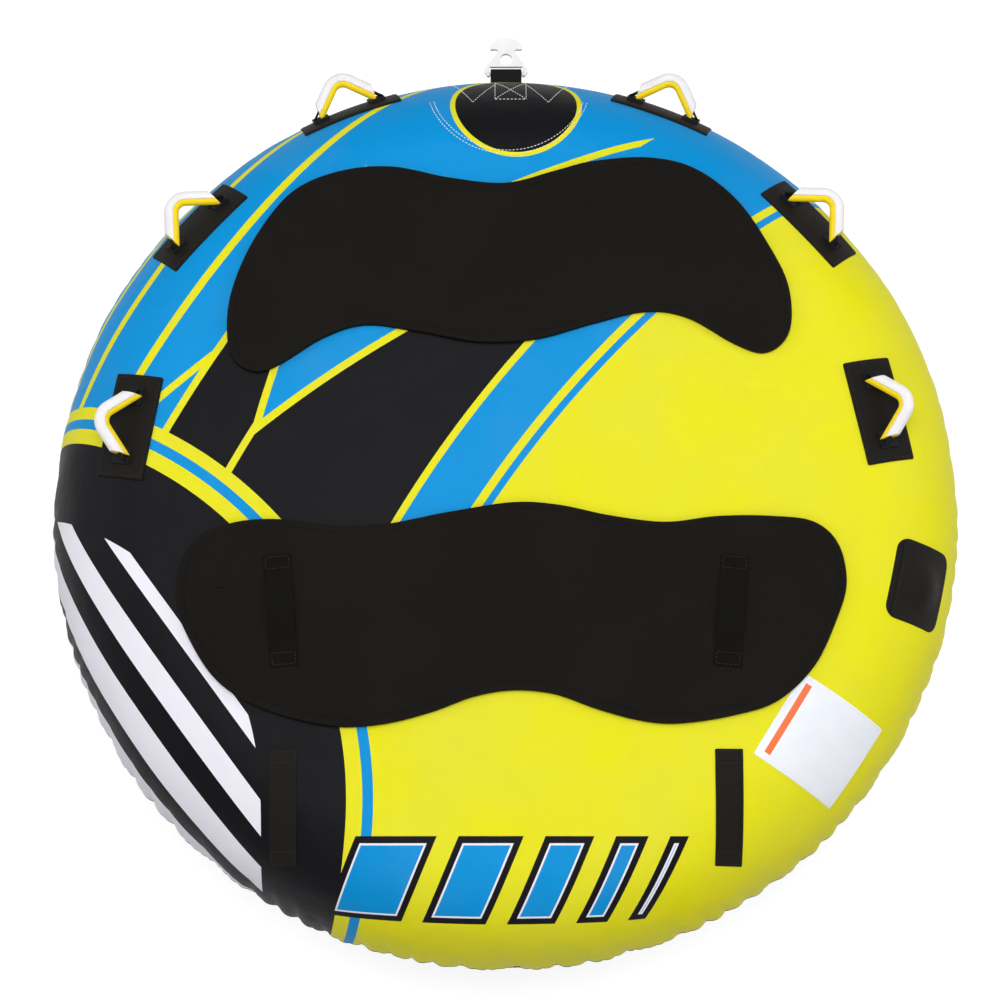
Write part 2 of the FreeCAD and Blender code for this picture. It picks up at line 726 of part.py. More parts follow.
def makeTowStrap():
    """Webbing folded round the hook's bar, both ends sewn to the tow patch."""
    inside = size("hookBarRadius") + size("towStrapClearance")
    outside = inside + size("towStrapThick")
    wide = size("towStrapWidth")
    back = size("hookReach") + size("patchThick") + rimRadius / 4

    def loop(radius):
        bend = Part.makeCylinder(radius, wide, Vector(-wide / 2, 0, 0), Vector(1, 0, 0))
        legs = Part.makeBox(wide, back, 2 * radius, Vector(-wide / 2, -back, -radius))
        return bend.fuse(legs)

    strap = loop(outside).cut(loop(inside))
    strap.Placement = hookPlace
    under = size("pipingRadius") + size("patchThick")
    return addShape("tow_strap", strap.cut(solidInside(under)))


makeTowStrap()


def outline(sketch, points):
    """A closed outline of straight lines, each corner tied to the sheet by two expressions."""
    lines = []
    for index, (x, y, xText, yText) in enumerate(points):
        following = points[(index + 1) % len(points)]
        lines.append(sketch.addGeometry(Part.LineSegment(
            Vector(x, y, 0), Vector(following[0], following[1], 0))))
    for index, line in enumerate(lines):
        following = lines[(index + 1) % len(lines)]
        sketch.addConstraint(Sketcher.Constraint("Coincident", line, 2, following, 1))
    for line, (x, y, xText, yText) in zip(lines, points):
        if xText:
            bind(sketch, "DistanceX", (-1, 1, line, 1), x, xText)
        else:
            sketch.addConstraint(Sketcher.Constraint("PointOnObject", line, 1, -2))
        bind(sketch, "DistanceY", (-1, 1, line, 1), y, yText)


EDGE_MATCH = 0.01


def upright(edge):
    ends = edge.Vertexes
    return len(ends) == 2 and math.hypot(ends[0].X - ends[1].X, ends[0].Y - ends[1].Y) < EDGE_MATCH


def level(edge):
    """Whether an edge lies in the top or the bottom face of the hook's plate."""
    height = size("hookThick") / 2
    return all(abs(v.Z - height) < EDGE_MATCH for v in edge.Vertexes) or all(
        abs(v.Z + height) < EDGE_MATCH for v in edge.Vertexes)


def roundEdges(body, name, feature, edges, radiusName):
    """Rounds some edges of a feature, found by where they lie."""
    found = []
    for index, edge in enumerate(feature.Shape.Edges, start=1):
        if any(edge.isSame(wanted) for wanted in edges):
            found.append("Edge%d" % index)
    fillet = body.newObject("PartDesign::Fillet", name)
    fillet.Base = (feature, found)
    fillet.setExpression("Radius", radiusName)
    doc.recompute()
    return fillet


def makeTowHook():
    """The hook plate: a round bar at the back for the strap, a hole for a rope and a T head."""
    body = newBody("tow_hook")
    half = newSketch(body, "XY_Plane", "tow_hook_half")
    cheek = size("hookBodyWidth") / 2
    neck = size("hookNeckWidth") / 2
    head = size("hookHeadWidth") / 2
    tail = size("hookTail")
    tip = size("hookHeadStart") - size("hookHeadDroop")
    tipText = "Sizes.hookHeadStart - Sizes.hookHeadDroop"
    outline(half, [
        (0, -tail, "", "-Sizes.hookTail"),
        (cheek - tail, -tail, "Sizes.hookBodyWidth / 2 - Sizes.hookTail", "-Sizes.hookTail"),
        (cheek, tail / 2, "Sizes.hookBodyWidth / 2", "Sizes.hookTail / 2"),
        (cheek, 2 * tail, "Sizes.hookBodyWidth / 2", "2 * Sizes.hookTail"),
        (neck, size("hookNeckReach"), "Sizes.hookNeckWidth / 2", "Sizes.hookNeckReach"),
        (neck, size("hookHeadStart"), "Sizes.hookNeckWidth / 2", "Sizes.hookHeadStart"),
        (head, tip, "Sizes.hookHeadWidth / 2", tipText),
        (head, tip + size("hookHeadSide"), "Sizes.hookHeadWidth / 2",
         tipText + " + Sizes.hookHeadSide"),
        (head / 2, size("hookLength") - size("hookHeadCrown"), "Sizes.hookHeadWidth / 4",
         "Sizes.hookLength - Sizes.hookHeadCrown"),
        (0, size("hookLength"), "", "Sizes.hookLength"),
    ])
    plate = body.newObject("PartDesign::Pad", "tow_hook_plate")
    plate.Profile = (half, [""])
    plate.setExpression("Length", "Sizes.hookThick")
    plate.SideType = "Symmetric"
    doc.recompute()
    mirror = body.newObject("PartDesign::Mirrored", "tow_hook_mirror")
    mirror.Originals = [plate]
    mirror.MirrorPlane = (half, ["V_Axis"])
    body.Tip = mirror
    doc.recompute()
    corners = [e for e in mirror.Shape.Edges if upright(e) and abs(e.Vertexes[0].X) > EDGE_MATCH]
    softened = roundEdges(body, "tow_hook_corners", mirror, corners, "Sizes.hookCorner")
    rims = [e for e in softened.Shape.Edges
            if level(e) and not any(abs(v.X) < EDGE_MATCH and abs(v.Y + tail) < EDGE_MATCH
                                    for v in e.Vertexes)]
    roundEdges(body, "tow_hook_edges", softened, rims, "Sizes.hookEdge")
    slot = newSketch(body, "XY_Plane", "tow_hook_slot")
    wide = size("towStrapWidth") / 2 + size("hookSideGap")
    wideText = "Sizes.towStrapWidth / 2 + Sizes.hookSideGap"
    outline(slot, [
        (-wide, -2 * tail, "-(%s)" % wideText, "-2 * Sizes.hookTail"),
        (wide, -2 * tail, wideText, "-2 * Sizes.hookTail"),
        (wide, size("hookSlotEnd"), wideText, "Sizes.hookSlotEnd"),
        (-wide, size("hookSlotEnd"), "-(%s)" % wideText, "Sizes.hookSlotEnd"),
    ])
    opening = body.newObject("PartDesign::Pocket", "tow_hook_opening")
    opening.Profile = (slot, [""])
    opening.Type = "ThroughAll"
    opening.SideType = "Symmetric"
    doc.recompute()
    ring = newSketch(body, "XY_Plane", "tow_hook_ring")
    circle = ring.addGeometry(Part.Circle(Vector(0, 30, 0), Vector(0, 0, 1), 12))
    ring.addConstraint(Sketcher.Constraint("PointOnObject", circle, 3, -2))
    bind(ring, "Radius", (circle,), 12, "Sizes.hookHoleRadius")
    bind(ring, "DistanceY", (-1, 1, circle, 3), 30, "Sizes.hookHoleReach")
    hole = body.newObject("PartDesign::Pocket", "tow_hook_hole")
    hole.Profile = (ring, [""])
    hole.Type = "ThroughAll"
    hole.SideType = "Symmetric"
    doc.recompute()
    bar = body.newObject("PartDesign::AdditiveCylinder", "tow_hook_bar")
    bar.setExpression("Radius", "Sizes.hookBarRadius")
    bar.setExpression("Height", "2 * (%s + Sizes.hookBarSeat)" % wideText)
    bar.Placement = Placement(Vector(-wide - size("hookBarSeat"), 0, 0),
                              Rotation(Vector(0, 1, 0), 90))
    doc.recompute()
    body.Placement = hookPlace
    return body


makeTowHook()

# ---------------------------------------------------------------- zipper and drain, lower rear rim
REAR = -90
zipTilt = 90 + size("zipDrop")


def rimStrip(label, tilt, sweepAngle, width, low, high):
    """A strip along the rim: a short piece of the rim's section turned about Z, at the rear."""
    half = math.degrees(width / 2 / rimRadius)
    inner = Part.Arc(rimPoint(low, tilt - half), rimPoint(low, tilt), rimPoint(low, tilt + half))
    outer = Part.Arc(rimPoint(high, tilt - half), rimPoint(high, tilt), rimPoint(high, tilt + half))
    ends = [Part.makeLine(rimPoint(low, tilt + turn), rimPoint(high, tilt + turn))
            for turn in (-half, half)]
    wire = Part.Wire(Part.__sortEdges__([inner.toShape(), outer.toShape()] + ends))
    strip = Part.Face(wire).revolve(Vector(0, 0, 0), Vector(0, 0, 1), sweepAngle)
    strip.rotate(Vector(0, 0, 0), Vector(0, 0, 1), REAR - sweepAngle / 2)
    return addShape(label, strip)


chainTop = size("tapeThick") + size("chainHeight")
rimStrip("zipper_tape", zipTilt, size("zipSweep"), size("tapeWidth"), 0, size("tapeThick"))
rimStrip("zipper_chain", zipTilt, size("zipSweep") - size("chainMargin"), size("chainWidth"),
         size("tapeThick"), chainTop)
rimStrip("drain_mesh", 90 + size("drainDrop"), size("drainSweep"), size("drainWidth"),
         0, size("drainThick"))

sliderPlace = rimFrame(REAR - size("sliderStart"), zipTilt)
pinHeight = chainTop + size("sliderGap") + size("sliderThick") + size("postHeight") - size("pinDrop")


def makeSlider():
    """A slider that straddles the chain, with two posts and a pin for the pull."""
    low = size("tapeThick") + size("sliderGap")
    top = chainTop + size("sliderGap") + size("sliderThick")
    long = size("sliderLength")
    wide = size("sliderWidth")
    channel = size("chainWidth") + 2 * size("sliderGap")
    body = Part.makeBox(long, wide, top - low, Vector(-long / 2, -wide / 2, low))
    body = body.cut(Part.makeBox(long, channel, chainTop + size("sliderGap") - low,
                                 Vector(-long / 2, -channel / 2, low)))
    reach = size("pullWidth") / 2 + 2 * size("pullClearance")
    for side in (-1, 1):
        middle = side * (reach + size("postThick") / 2)
        post = Part.makeBox(size("postLength"), size("postThick"), size("postHeight"),
                            Vector(-size("postLength") / 2, middle - size("postThick") / 2, top))
        body = body.fuse(post)
    pin = Part.makeCylinder(size("pullPinRadius"), 2 * reach + size("postThick"),
                            Vector(0, -reach - size("postThick") / 2, pinHeight), Vector(0, 1, 0))
    piece = addShape("zipper_slider", body.fuse(pin))
    piece.Placement = sliderPlace


def makePull():
    """A flat tab that hangs from the pin straight out of the rim."""
    wide = size("pullWidth")
    eye = Part.makeCylinder(size("pullEye"), wide, Vector(0, -wide / 2, 0), Vector(0, 1, 0))
    tab = Part.makeBox(size("pullThick"), wide, size("pullLength"),
                       Vector(-size("pullThick") / 2, -wide / 2, 0))
    hole = Part.makeCylinder(size("pullPinRadius") + size("pullClearance"), wide,
                             Vector(0, -wide / 2, 0), Vector(0, 1, 0))
    piece = addShape("zipper_pull", eye.fuse(tab).cut(hole))
    piece.Placement = sliderPlace.multiply(Placement(Vector(0, 0, pinHeight), Rotation()))


makeSlider()
makePull()
doc.recompute()

# ---------------------------------------------------------------- checks and export
NODES = [
    "cover_top", "cover_bottom", "rim_piping", "bladder", "bladder_webs", "chest_pad", "knee_pad",
    "deck_strap_left", "deck_strap_right", "pad_strap_left", "pad_strap_right", "label_patch",
    "valve_base", "valve_membrane", "valve_cap", "valve_flap", "flap_hem",
    "tow_reinforcement", "tow_patch", "tow_strap", "tow_hook",
    "zipper_tape", "zipper_chain", "zipper_slider", "zipper_pull", "drain_mesh",
]
for word, angle, inset, lean in HANDLES:
    for kind in ("handle_patch_", "handle_roots_", "handle_strap_", "handle_foam_", "handle_wrap_"):
        NODES.append(kind + word)

for item in doc.Objects:
    if "Invalid" in item.State or "Error" in item.State:
        raise RuntimeError("%s did not rebuild: %s" % (item.Label, item.State))

os.makedirs("parts", exist_ok=True)
for label in NODES:
    item = doc.getObjectsByLabel(label)[0]
    if item.Shape.isNull() or not item.Shape.isValid():
        raise RuntimeError("%s has no valid shape" % label)
    item.Shape.exportStep("parts/%s.step" % label)
print("wrote", len(NODES), "pieces")
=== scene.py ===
import json
import math

import bmesh
import bpy
import numpy as np
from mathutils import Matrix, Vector


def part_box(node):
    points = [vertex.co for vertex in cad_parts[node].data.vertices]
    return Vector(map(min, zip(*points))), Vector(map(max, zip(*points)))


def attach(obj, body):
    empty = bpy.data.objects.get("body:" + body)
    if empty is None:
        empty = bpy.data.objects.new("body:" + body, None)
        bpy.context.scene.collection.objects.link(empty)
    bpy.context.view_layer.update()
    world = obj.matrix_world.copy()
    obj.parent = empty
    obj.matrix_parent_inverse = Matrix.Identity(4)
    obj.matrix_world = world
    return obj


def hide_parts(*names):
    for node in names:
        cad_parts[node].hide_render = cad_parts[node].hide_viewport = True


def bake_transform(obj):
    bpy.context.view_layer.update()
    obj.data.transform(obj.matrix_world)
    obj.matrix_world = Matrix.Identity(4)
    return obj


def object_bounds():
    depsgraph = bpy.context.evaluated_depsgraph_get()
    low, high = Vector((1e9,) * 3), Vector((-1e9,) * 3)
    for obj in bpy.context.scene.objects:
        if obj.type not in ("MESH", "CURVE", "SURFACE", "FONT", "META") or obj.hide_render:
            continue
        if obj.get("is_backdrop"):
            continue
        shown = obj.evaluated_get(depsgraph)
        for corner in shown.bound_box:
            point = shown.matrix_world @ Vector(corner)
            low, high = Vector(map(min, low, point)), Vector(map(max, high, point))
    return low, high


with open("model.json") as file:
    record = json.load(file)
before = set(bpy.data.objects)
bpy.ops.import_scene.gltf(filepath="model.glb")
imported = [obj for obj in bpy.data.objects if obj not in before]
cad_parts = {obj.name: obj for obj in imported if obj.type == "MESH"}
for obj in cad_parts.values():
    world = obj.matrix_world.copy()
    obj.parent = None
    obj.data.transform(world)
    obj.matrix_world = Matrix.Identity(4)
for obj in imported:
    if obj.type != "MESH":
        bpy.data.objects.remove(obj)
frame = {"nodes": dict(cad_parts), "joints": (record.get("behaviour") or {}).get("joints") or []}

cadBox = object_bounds()
joints = {j["name"]: j for j in frame["joints"]}


# the inflated tube's own surface, read off the two covers: a round rim and a crown tangent to it
topLow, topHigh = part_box("cover_top")
_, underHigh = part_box("cover_bottom")
tubeRadius = topHigh.x
rimRadius = (topLow.z + underHigh.z) / 2
crownRise = topHigh.z - 2 * rimRadius
deckRadius = tubeRadius - rimRadius
crownRadius = (deckRadius ** 2 + crownRise ** 2) / (2 * crownRise) + rimRadius
crownCentre = topHigh.z - crownRadius
crownTilt = math.asin(deckRadius / (crownRadius - rimRadius))
crownArc = crownRadius * crownTilt
seamArc = crownArc + rimRadius * (math.pi / 2 - crownTilt)


# equal turns round a full circle
def turnsOf(count):
    return np.arange(count) / count * 2 * math.pi


# points at a distance rho from the tube's axis: (rho cos a, rho sin a, z)
def polar(rho, angle, height):
    return np.stack([rho * np.cos(angle), rho * np.sin(angle), height], axis=-1)


# position = (rho cos a, rho sin a, z), where rho and z follow the crown arc up to crownArc and the
# rim arc after it, both moved out by lift
def onSkin(arc, angle, lift=0.0):
    arc, angle, lift = np.broadcast_arrays(arc, angle, lift)
    turn = np.minimum(arc, crownArc) / crownRadius
    tilt = crownTilt + (arc - crownArc) / rimRadius
    rho = np.where(arc < crownArc, (crownRadius + lift) * np.sin(turn),
                   deckRadius + (rimRadius + lift) * np.sin(tilt))
    height = np.where(arc < crownArc, crownCentre + (crownRadius + lift) * np.cos(turn),
                      rimRadius + (rimRadius + lift) * np.cos(tilt))
    return polar(rho, angle, height)


# how far points are outside the skin, length from the arc's centre - radius, and the way straight out
def gapToSkin(points):
    rho = np.hypot(points[:, 0], points[:, 1]) + 1e-9
    onRim = np.arctan2(rho, points[:, 2] - crownCentre) > crownTilt
    across = np.where(onRim, rho - deckRadius, rho)
    up = points[:, 2] - np.where(onRim, rimRadius, crownCentre)
    length = np.hypot(across, up)
    gap = length - np.where(onRim, rimRadius, crownRadius)
    side = across / length / rho
    return gap, np.stack([points[:, 0] * side, points[:, 1] * side, up / length], axis=-1)


# moves points along one direction until they are lift above the skin: each step takes off
# (gap - lift) / (out . direction)
def settle(points, direction, lift, steps=8):
    spots = points.copy()
    for _ in range(steps):
        gap, out = gapToSkin(spots)
        spots -= direction * ((gap - lift) / (out @ direction))[:, None]
    return spots


# a place on the deck in the print's own flat coordinates: (x, y) arc / rho, with the arc length
# out from the middle
def flatPlace(x, y):
    rho = math.hypot(x, y)
    if rho < crownRadius * math.sin(crownTilt):
        arc = crownRadius * math.asin(rho / crownRadius)
    else:
        arc = crownArc + rimRadius * (math.asin((rho - deckRadius) / rimRadius) - crownTilt)
    return x * arc / rho, y * arc / rho


# a sewing frame on the rim: its place, then the ways along the rim, down the rim and straight out,
# out = (cos a sin t, sin a sin t, cos t) for the angle a round the tube and the tilt t of the rim
def rimFrame(angle, tilt):
    out = np.array([math.cos(angle) * math.sin(tilt), math.sin(angle) * math.sin(tilt), math.cos(tilt)])
    down = np.array([math.cos(angle) * math.cos(tilt), math.sin(angle) * math.cos(tilt), -math.sin(tilt)])
    along = np.array([math.sin(angle), -math.cos(angle), 0.0])
    centre = np.array([deckRadius * math.cos(angle), deckRadius * math.sin(angle), rimRadius])
    return centre + out * rimRadius, along, down, out


# the sewing frame of the place on the rim that is nearest to a spot
def rimPlace(spot):
    tilt = math.atan2(math.hypot(spot[0], spot[1]) - deckRadius, spot[2] - rimRadius)
    return rimFrame(math.atan2(spot[1], spot[0]), tilt)


# one mesh piece that rides on a body, with its flat cloth coordinates as an attribute
def makePiece(name, points, faces, material, body="root", cloth=None, weld=True, smooth=True):
    mesh = bpy.data.meshes.new(name)
    mesh.from_pydata(points.tolist(), [], faces)
    if cloth is not None:
        layer = mesh.attributes.new("cloth", "FLOAT_VECTOR", "POINT")
        layer.data.foreach_set("vector", np.ascontiguousarray(cloth, np.float32).ravel())
    work = bmesh.new()
    work.from_mesh(mesh)
    if weld:
        bmesh.ops.remove_doubles(work, verts=work.verts, dist=2e-6)
    bmesh.ops.recalc_face_normals(work, faces=work.faces)
    work.to_mesh(mesh)
    work.free()
    mesh.polygons.foreach_set("use_smooth", np.full(len(mesh.polygons), smooth))
    piece = bpy.data.objects.new(name, mesh)
    bpy.context.scene.collection.objects.link(piece)
    mesh.materials.append(material)
    if body:
        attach(piece, body)
    return piece


# quads between neighbouring rings: (k, k + 1) on one ring and the same two on the next
def ringFaces(rings, count, start=0, closeEnds=False):
    rows = np.arange(rings if closeEnds else rings - 1)[:, None]
    low, high = start + rows * count, start + (rows + 1) % rings * count
    k = np.arange(count)
    n = (k + 1) % count
    return np.stack([low + k, low + n, high + n, high + k], axis=-1).reshape(-1, 4).tolist()


# the faces of many equal lofts, each with both its lids, one after the other
def repeatFaces(copies, rings, count):
    one = ringFaces(rings, count) + [list(range(count)), list(range((rings - 1) * count, rings * count))]
    return [[first + k for k in face] for first in range(0, copies * rings * count, rings * count)
            for face in one]


# rings lofted one to the next, with a lid on the first and the last unless they meet
def loftPiece(name, rings, material, body="root", closed=False, cloth=None):
    rows, count = rings.shape[:2]
    points = rings.reshape(-1, 3)
    faces = ringFaces(rows, count, closeEnds=closed)
    if not closed:
        faces.append(tuple(range(count))[::-1])
        faces.append(tuple(range((rows - 1) * count, rows * count)))
    return makePiece(name, points, faces, material, body, cloth)


# a rounded rectangle, drawn round from its left end, and the middle line that it shrinks to
def roundedOutline(width, depth, corner, step=0.004, cornerPoints=7):
    halfX, halfY = width / 2 - corner, depth / 2 - corner
    runs = []
    for number, (sideX, sideY) in enumerate(((1, 1), (-1, 1), (-1, -1), (1, -1))):
        turn = np.radians(number * 90 + np.linspace(0, 90, cornerPoints))
        middle = np.array([sideX * halfX, sideY * halfY])
        runs.append(middle + corner * np.column_stack([np.cos(turn), np.sin(turn)]))
    path = []
    for index, run in enumerate(runs):
        following = runs[(index + 1) % 4][0]
        count = 2 * max(1, round(np.linalg.norm(following - run[-1]) / step / 2))
        share = np.linspace(0, 1, count + 1)[1:-1, None]
        path += [run, run[-1] + (following - run[-1]) * share]
    edge = np.concatenate(path)
    core = np.zeros_like(edge)
    if width > depth:
        core[:, 0] = np.clip(edge[:, 0], -(width - depth) / 2, (width - depth) / 2)
    else:
        core[:, 1] = np.clip(edge[:, 1], -(depth - width) / 2, (depth - width) / 2)
    return edge, core


# distance of points from a closed outline, in the plane of the cloth: the least of
# |p - a - s (b - a)| over its edges, where s = (p - a) . (b - a) / |b - a|^2 is kept from 0 to 1
def edgeDistance(points, edge):
    way = np.roll(edge, -1, axis=0) - edge
    offset = points[:, None] - edge
    share = np.clip((offset * way).sum(axis=-1) / np.maximum((way ** 2).sum(axis=-1), 1e-12), 0, 1)
    return np.linalg.norm(offset - share[..., None] * way, axis=-1).min(axis=1)


# how the rows of a sheet lie: over its rounded edge, across a groove and over its underside
sheetRows = {"bend": 0.004, "edge": (0.0, 0.15, 0.45, 1.0), "groove": (-0.003, -0.0015, 0.0, 0.0015, 0.003),
             "under": 7}


# a sheet with an outline, thickness and rounded edge: lift(d) = high - r (1 - sqrt(1 - (1 - d/r)^2))
# for the distance d from the edge below r, and high further in, less a groove where one is sewn
def sheetPiece(name, edge, core, onto, low, high, material, body="root", groove=None, inner=14,
               raised=None):
    bend = min((high - low) / 2, sheetRows["bend"])
    reach = np.linalg.norm(core - edge, axis=1)
    insets = [bend * step for step in sheetRows["edge"]]
    if groove:
        insets += [groove["inset"] + shift for shift in sheetRows["groove"]]
    shares = [np.minimum(inset / reach, 0.9) for inset in insets]
    last = shares[-1]
    shares += [last + (1 - last) * step for step in np.linspace(0, 1, inner + 1)[1:]]
    rings, flats = [], []
    for share in shares:
        flat = edge + (core - edge) * share[:, None]
        gap = edgeDistance(flat, edge)
        lift = high - bend * (1 - np.sqrt(np.clip(1 - (1 - np.minimum(gap / bend, 1)) ** 2, 0, 1)))
        if groove:
            lift = lift - groove["depth"] * np.exp(-((gap - groove["inset"]) / groove["width"]) ** 2)
        if raised is not None:
            lift = lift + raised(flat)
        rings.insert(0, onto(flat, lift))
        flats.insert(0, np.column_stack([flat, gap]))
    for share in np.linspace(0, 1, sheetRows["under"]):
        flat = edge + (core - edge) * share
        lift = np.full(len(flat), low)
        if raised is not None:
            lift = lift + raised(flat)
        rings.append(onto(flat, lift))
        flats.append(np.column_stack([flat, edgeDistance(flat, edge)]))
    faces = ringFaces(len(rings), len(edge))
    return makePiece(name, np.concatenate(rings), faces, material, body, np.concatenate(flats))


# a cloth piece, its flat size and its slot are passed in; only the CAD node that it stands for is used, and
# it is hidden
def declare(piece, flat, node, slot):
    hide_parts(node)


# a flat rectangle of cloth with rounded corners, laid on what is under it
def patchPiece(name, node, size, onto, low, high, material, slot="webbing", under="cover_print_top",
               step=0.004, **more):
    edge, core = roundedOutline(*size, step)
    declare(sheetPiece(name, edge, core, onto, low, high, material, **more), size[:2],
            node, slot)


# a way to lay flat points on the rim from a sewing frame, turned in its own plane
def ontoRim(place, turn=0.0):
    origin, along, down, out = place
    first = along * math.cos(turn) + down * math.sin(turn)
    second = down * math.cos(turn) - along * math.sin(turn)

    def onto(flat, lift):
        return settle(origin + np.outer(flat[:, 0], first) + np.outer(flat[:, 1], second), out, lift)
    return onto


# a way to lay flat points on the deck, turned and moved first, and then dropped straight down
def ontoDeck(spot=(0.0, 0.0), turn=0.0):
    def onto(flat, lift):
        x = spot[0] + flat[:, 0] * math.cos(turn) - flat[:, 1] * math.sin(turn)
        y = spot[1] + flat[:, 0] * math.sin(turn) + flat[:, 1] * math.cos(turn)
        start = np.column_stack([x, y, np.full(len(x), topHigh.z)])
        return settle(start, np.array([0.0, 0.0, 1.0]), lift)
    return onto


# stitches along a line: capsules r(t) = radius (1 - t^4), t from -1 to 1 along each stitch
stitch = {"length": 0.005, "gap": 0.0022, "radius": 0.0006, "tip": 0.15, "sides": 6, "rows": 5,
          "corner": 0.0015, "cross": 30}


def stitchPiece(name, line, material, body="root", closed=True, radius=stitch["radius"]):
    path = np.concatenate([line, line[:1]]) if closed else line
    run = np.concatenate([[0], np.cumsum(np.linalg.norm(np.diff(path, axis=0), axis=1))])
    count = max(1, int(run[-1] / (stitch["length"] + stitch["gap"])))
    starts = np.arange(count) * run[-1] / count
    heads, tails = [np.column_stack([np.interp(starts + way, run, path[:, k]) for k in range(3)])
                    for way in (0, stitch["length"])]
    way = tails - heads
    _, out = gapToSkin(heads)
    side = np.cross(way, out)
    side /= np.linalg.norm(side, axis=1)[:, None]
    share = np.linspace(-1, 1, stitch["rows"])
    ring = radius * np.maximum(1 - share ** 4, stitch["tip"])[None, :, None, None]
    turn = turnsOf(stitch["sides"])[None, None, :, None]
    middle = ((heads + tails) / 2)[:, None, None] + way[:, None, None] * share[:, None, None] / 2
    points = middle + ring * (np.cos(turn) * side[:, None, None] + np.sin(turn) * out[:, None, None])
    faces = repeatFaces(count, stitch["rows"], stitch["sides"])
    return makePiece(name, points.reshape(-1, 3), faces, material, body, weld=False)


# a colour's linear values from its display code: ((c + 0.055) / 1.055)^2.4 above 0.04045
def linear(code):
    parts = [int(code[k:k + 2], 16) / 255 for k in (1, 3, 5)]
    return tuple(c / 12.92 if c <= 0.04045 else ((c + 0.055) / 1.055) ** 2.4 for c in parts) + (1.0,)


# one shader node; a link is a socket to join or a value to set
def addNode(tree, kind, settings=None, links=None):
    node = tree.nodes.new(kind)
    for name, value in (settings or {}).items():
        setattr(node, name, value)
    for name, value in (links or {}).items():
        socket = node.inputs[name]
        if isinstance(value, bpy.types.NodeSocket):
            tree.links.new(value, socket)
        else:
            socket.default_value = value
    return node


# one step of arithmetic: operation(first, second, third)
def calc(tree, operation, first, second=0.0, third=0.0):
    settings = {"operation": operation}
    return addNode(tree, "ShaderNodeMath", settings, {0: first, 1: second, 2: third}).outputs[0]


# first (1 - share) + second share
def blendColours(tree, share, first, second):
    links = {"Factor": share, 6: first, 7: second}
    return addNode(tree, "ShaderNodeMix", {"data_type": "RGBA"}, links).outputs[2]


# a vector's three parts
def axesOf(tree, vector):
    return addNode(tree, "ShaderNodeSeparateXYZ", {}, {0: vector}).outputs


# slow or fine noise from 0 to 1, with scale cells to the metre
def noiseOf(tree, vector, scale, detail=3.0, roughness=0.5):
    links = {"Vector": vector, "Scale": scale, "Detail": detail, "Roughness": roughness}
    return addNode(tree, "ShaderNodeTexNoise", {}, links).outputs["Fac"]


# the flat cloth coordinates that a sheet was cut with, and a piece's own place
def clothVector(tree):
    return addNode(tree, "ShaderNodeAttribute", {"attribute_name": "cloth"}).outputs["Vector"]


def objectVector(tree):
    return addNode(tree, "ShaderNodeTexCoord").outputs["Object"]


# a normal bent by height x distance, on top of another
def bumpOf(tree, height, distance, strength=1.0, normal=None):
    links = {"Height": height, "Distance": distance, "Strength": strength}
    if normal is not None:
        links["Normal"] = normal
    return addNode(tree, "ShaderNodeBump", {}, links).outputs["Normal"]


# a material with one principled shader
def newMaterial(name, roughness, ior=1.5, shine=0.5):
    material = bpy.data.materials.new(name)
    material.use_nodes = True
    tree = material.node_tree
    shader = tree.nodes["Principled BSDF"]
    shader.inputs["Roughness"].default_value = roughness
    shader.inputs["IOR"].default_value = ior
    shader.inputs["Specular IOR Level"].default_value = shine
    return material, tree, shader


# joins a socket to one of the shader's inputs
def feed(shader, name, socket):
    shader.id_data.links.new(socket, shader.inputs[name])


# plain weave: crests where warp and weft cross, height = (1 + sin(2 pi x / pitch) sin(2 pi y / pitch)) / 2
def weaveHeight(tree, vector, pitch):
    parts = axesOf(tree, vector)
    waves = [calc(tree, "SINE", calc(tree, "MULTIPLY", parts[k], 2 * math.pi / pitch)) for k in (0, 1)]
    crests = calc(tree, "MULTIPLY", waves[0], waves[1])
    return calc(tree, "MULTIPLY_ADD", crests, 0.5, 0.5)


# a cloth with weave, slow colour drift and soft creases
def clothMaterial(name, code, roughness, pitch, depth, drift=0.12, shine=0.12, flat=True):
    material, tree, shader = newMaterial(name, roughness, 1.5, shine)
    place = clothVector(tree) if flat else objectVector(tree)
    weave = weaveHeight(tree, place, pitch)
    slow = noiseOf(tree, objectVector(tree), 9.0)
    shade = calc(tree, "MULTIPLY_ADD", calc(tree, "SUBTRACT", slow, 0.5), drift * 2, 0.0)
    base = linear(code)
    bright = tuple(min(c * 1.5 + 0.004, 1.0) for c in base[:3]) + (1.0,)
    share = calc(tree, "ADD", calc(tree, "MULTIPLY", weave, 0.35), shade)
    colour = blendColours(tree, share, base, bright)
    feed(shader, "Base Color", colour)
    soft = bumpOf(tree, noiseOf(tree, objectVector(tree), 30.0, 2.0), 0.002, 0.35)
    feed(shader, "Normal", bumpOf(tree, weave, depth, 0.6, soft))
    return material


# the print: its colours, the centres of its circles and its bands from the ground up. Each band has
# a colour and the lines that it lies between, in metres of flat cloth from the tube's middle
printColours = {"yellow": "#DDD81F", "blue": "#018BCE", "black": "#0D0C11", "white": "#E5E3EC"}
printCircles = {"sweep": (1.83, -1.26), "steep": (1.0, -1.7), "shallow": (2.3, -0.6), "field": (-1.02, -0.60),
                "tow": flatPlace(0.02, 0.79)}
printBands = [
    ("blue", {"sweep": (2.222, 2.236)}),
    ("blue", {"sweep": (2.252, None)}),
    ("yellow", {"sweep": (2.352, None), "steep": (None, 2.345)}),
    ("black", {"sweep": (2.366, None), "steep": (None, 2.330)}),
    ("yellow", {"sweep": (2.5, None), "steep": (2.50, 2.514)}),
    ("yellow", {"sweep": (2.68, 2.84), "shallow": (2.86, None)}),
    ("black", {"sweep": (2.694, 2.826), "shallow": (2.874, None)}),
    ("yellow", {"sweep": (2.93, 2.946)}),
    ("yellow", {"sweep": (3.04, 3.056)}),
    ("yellow", {"sweep": (3.12, 3.136)}),
]
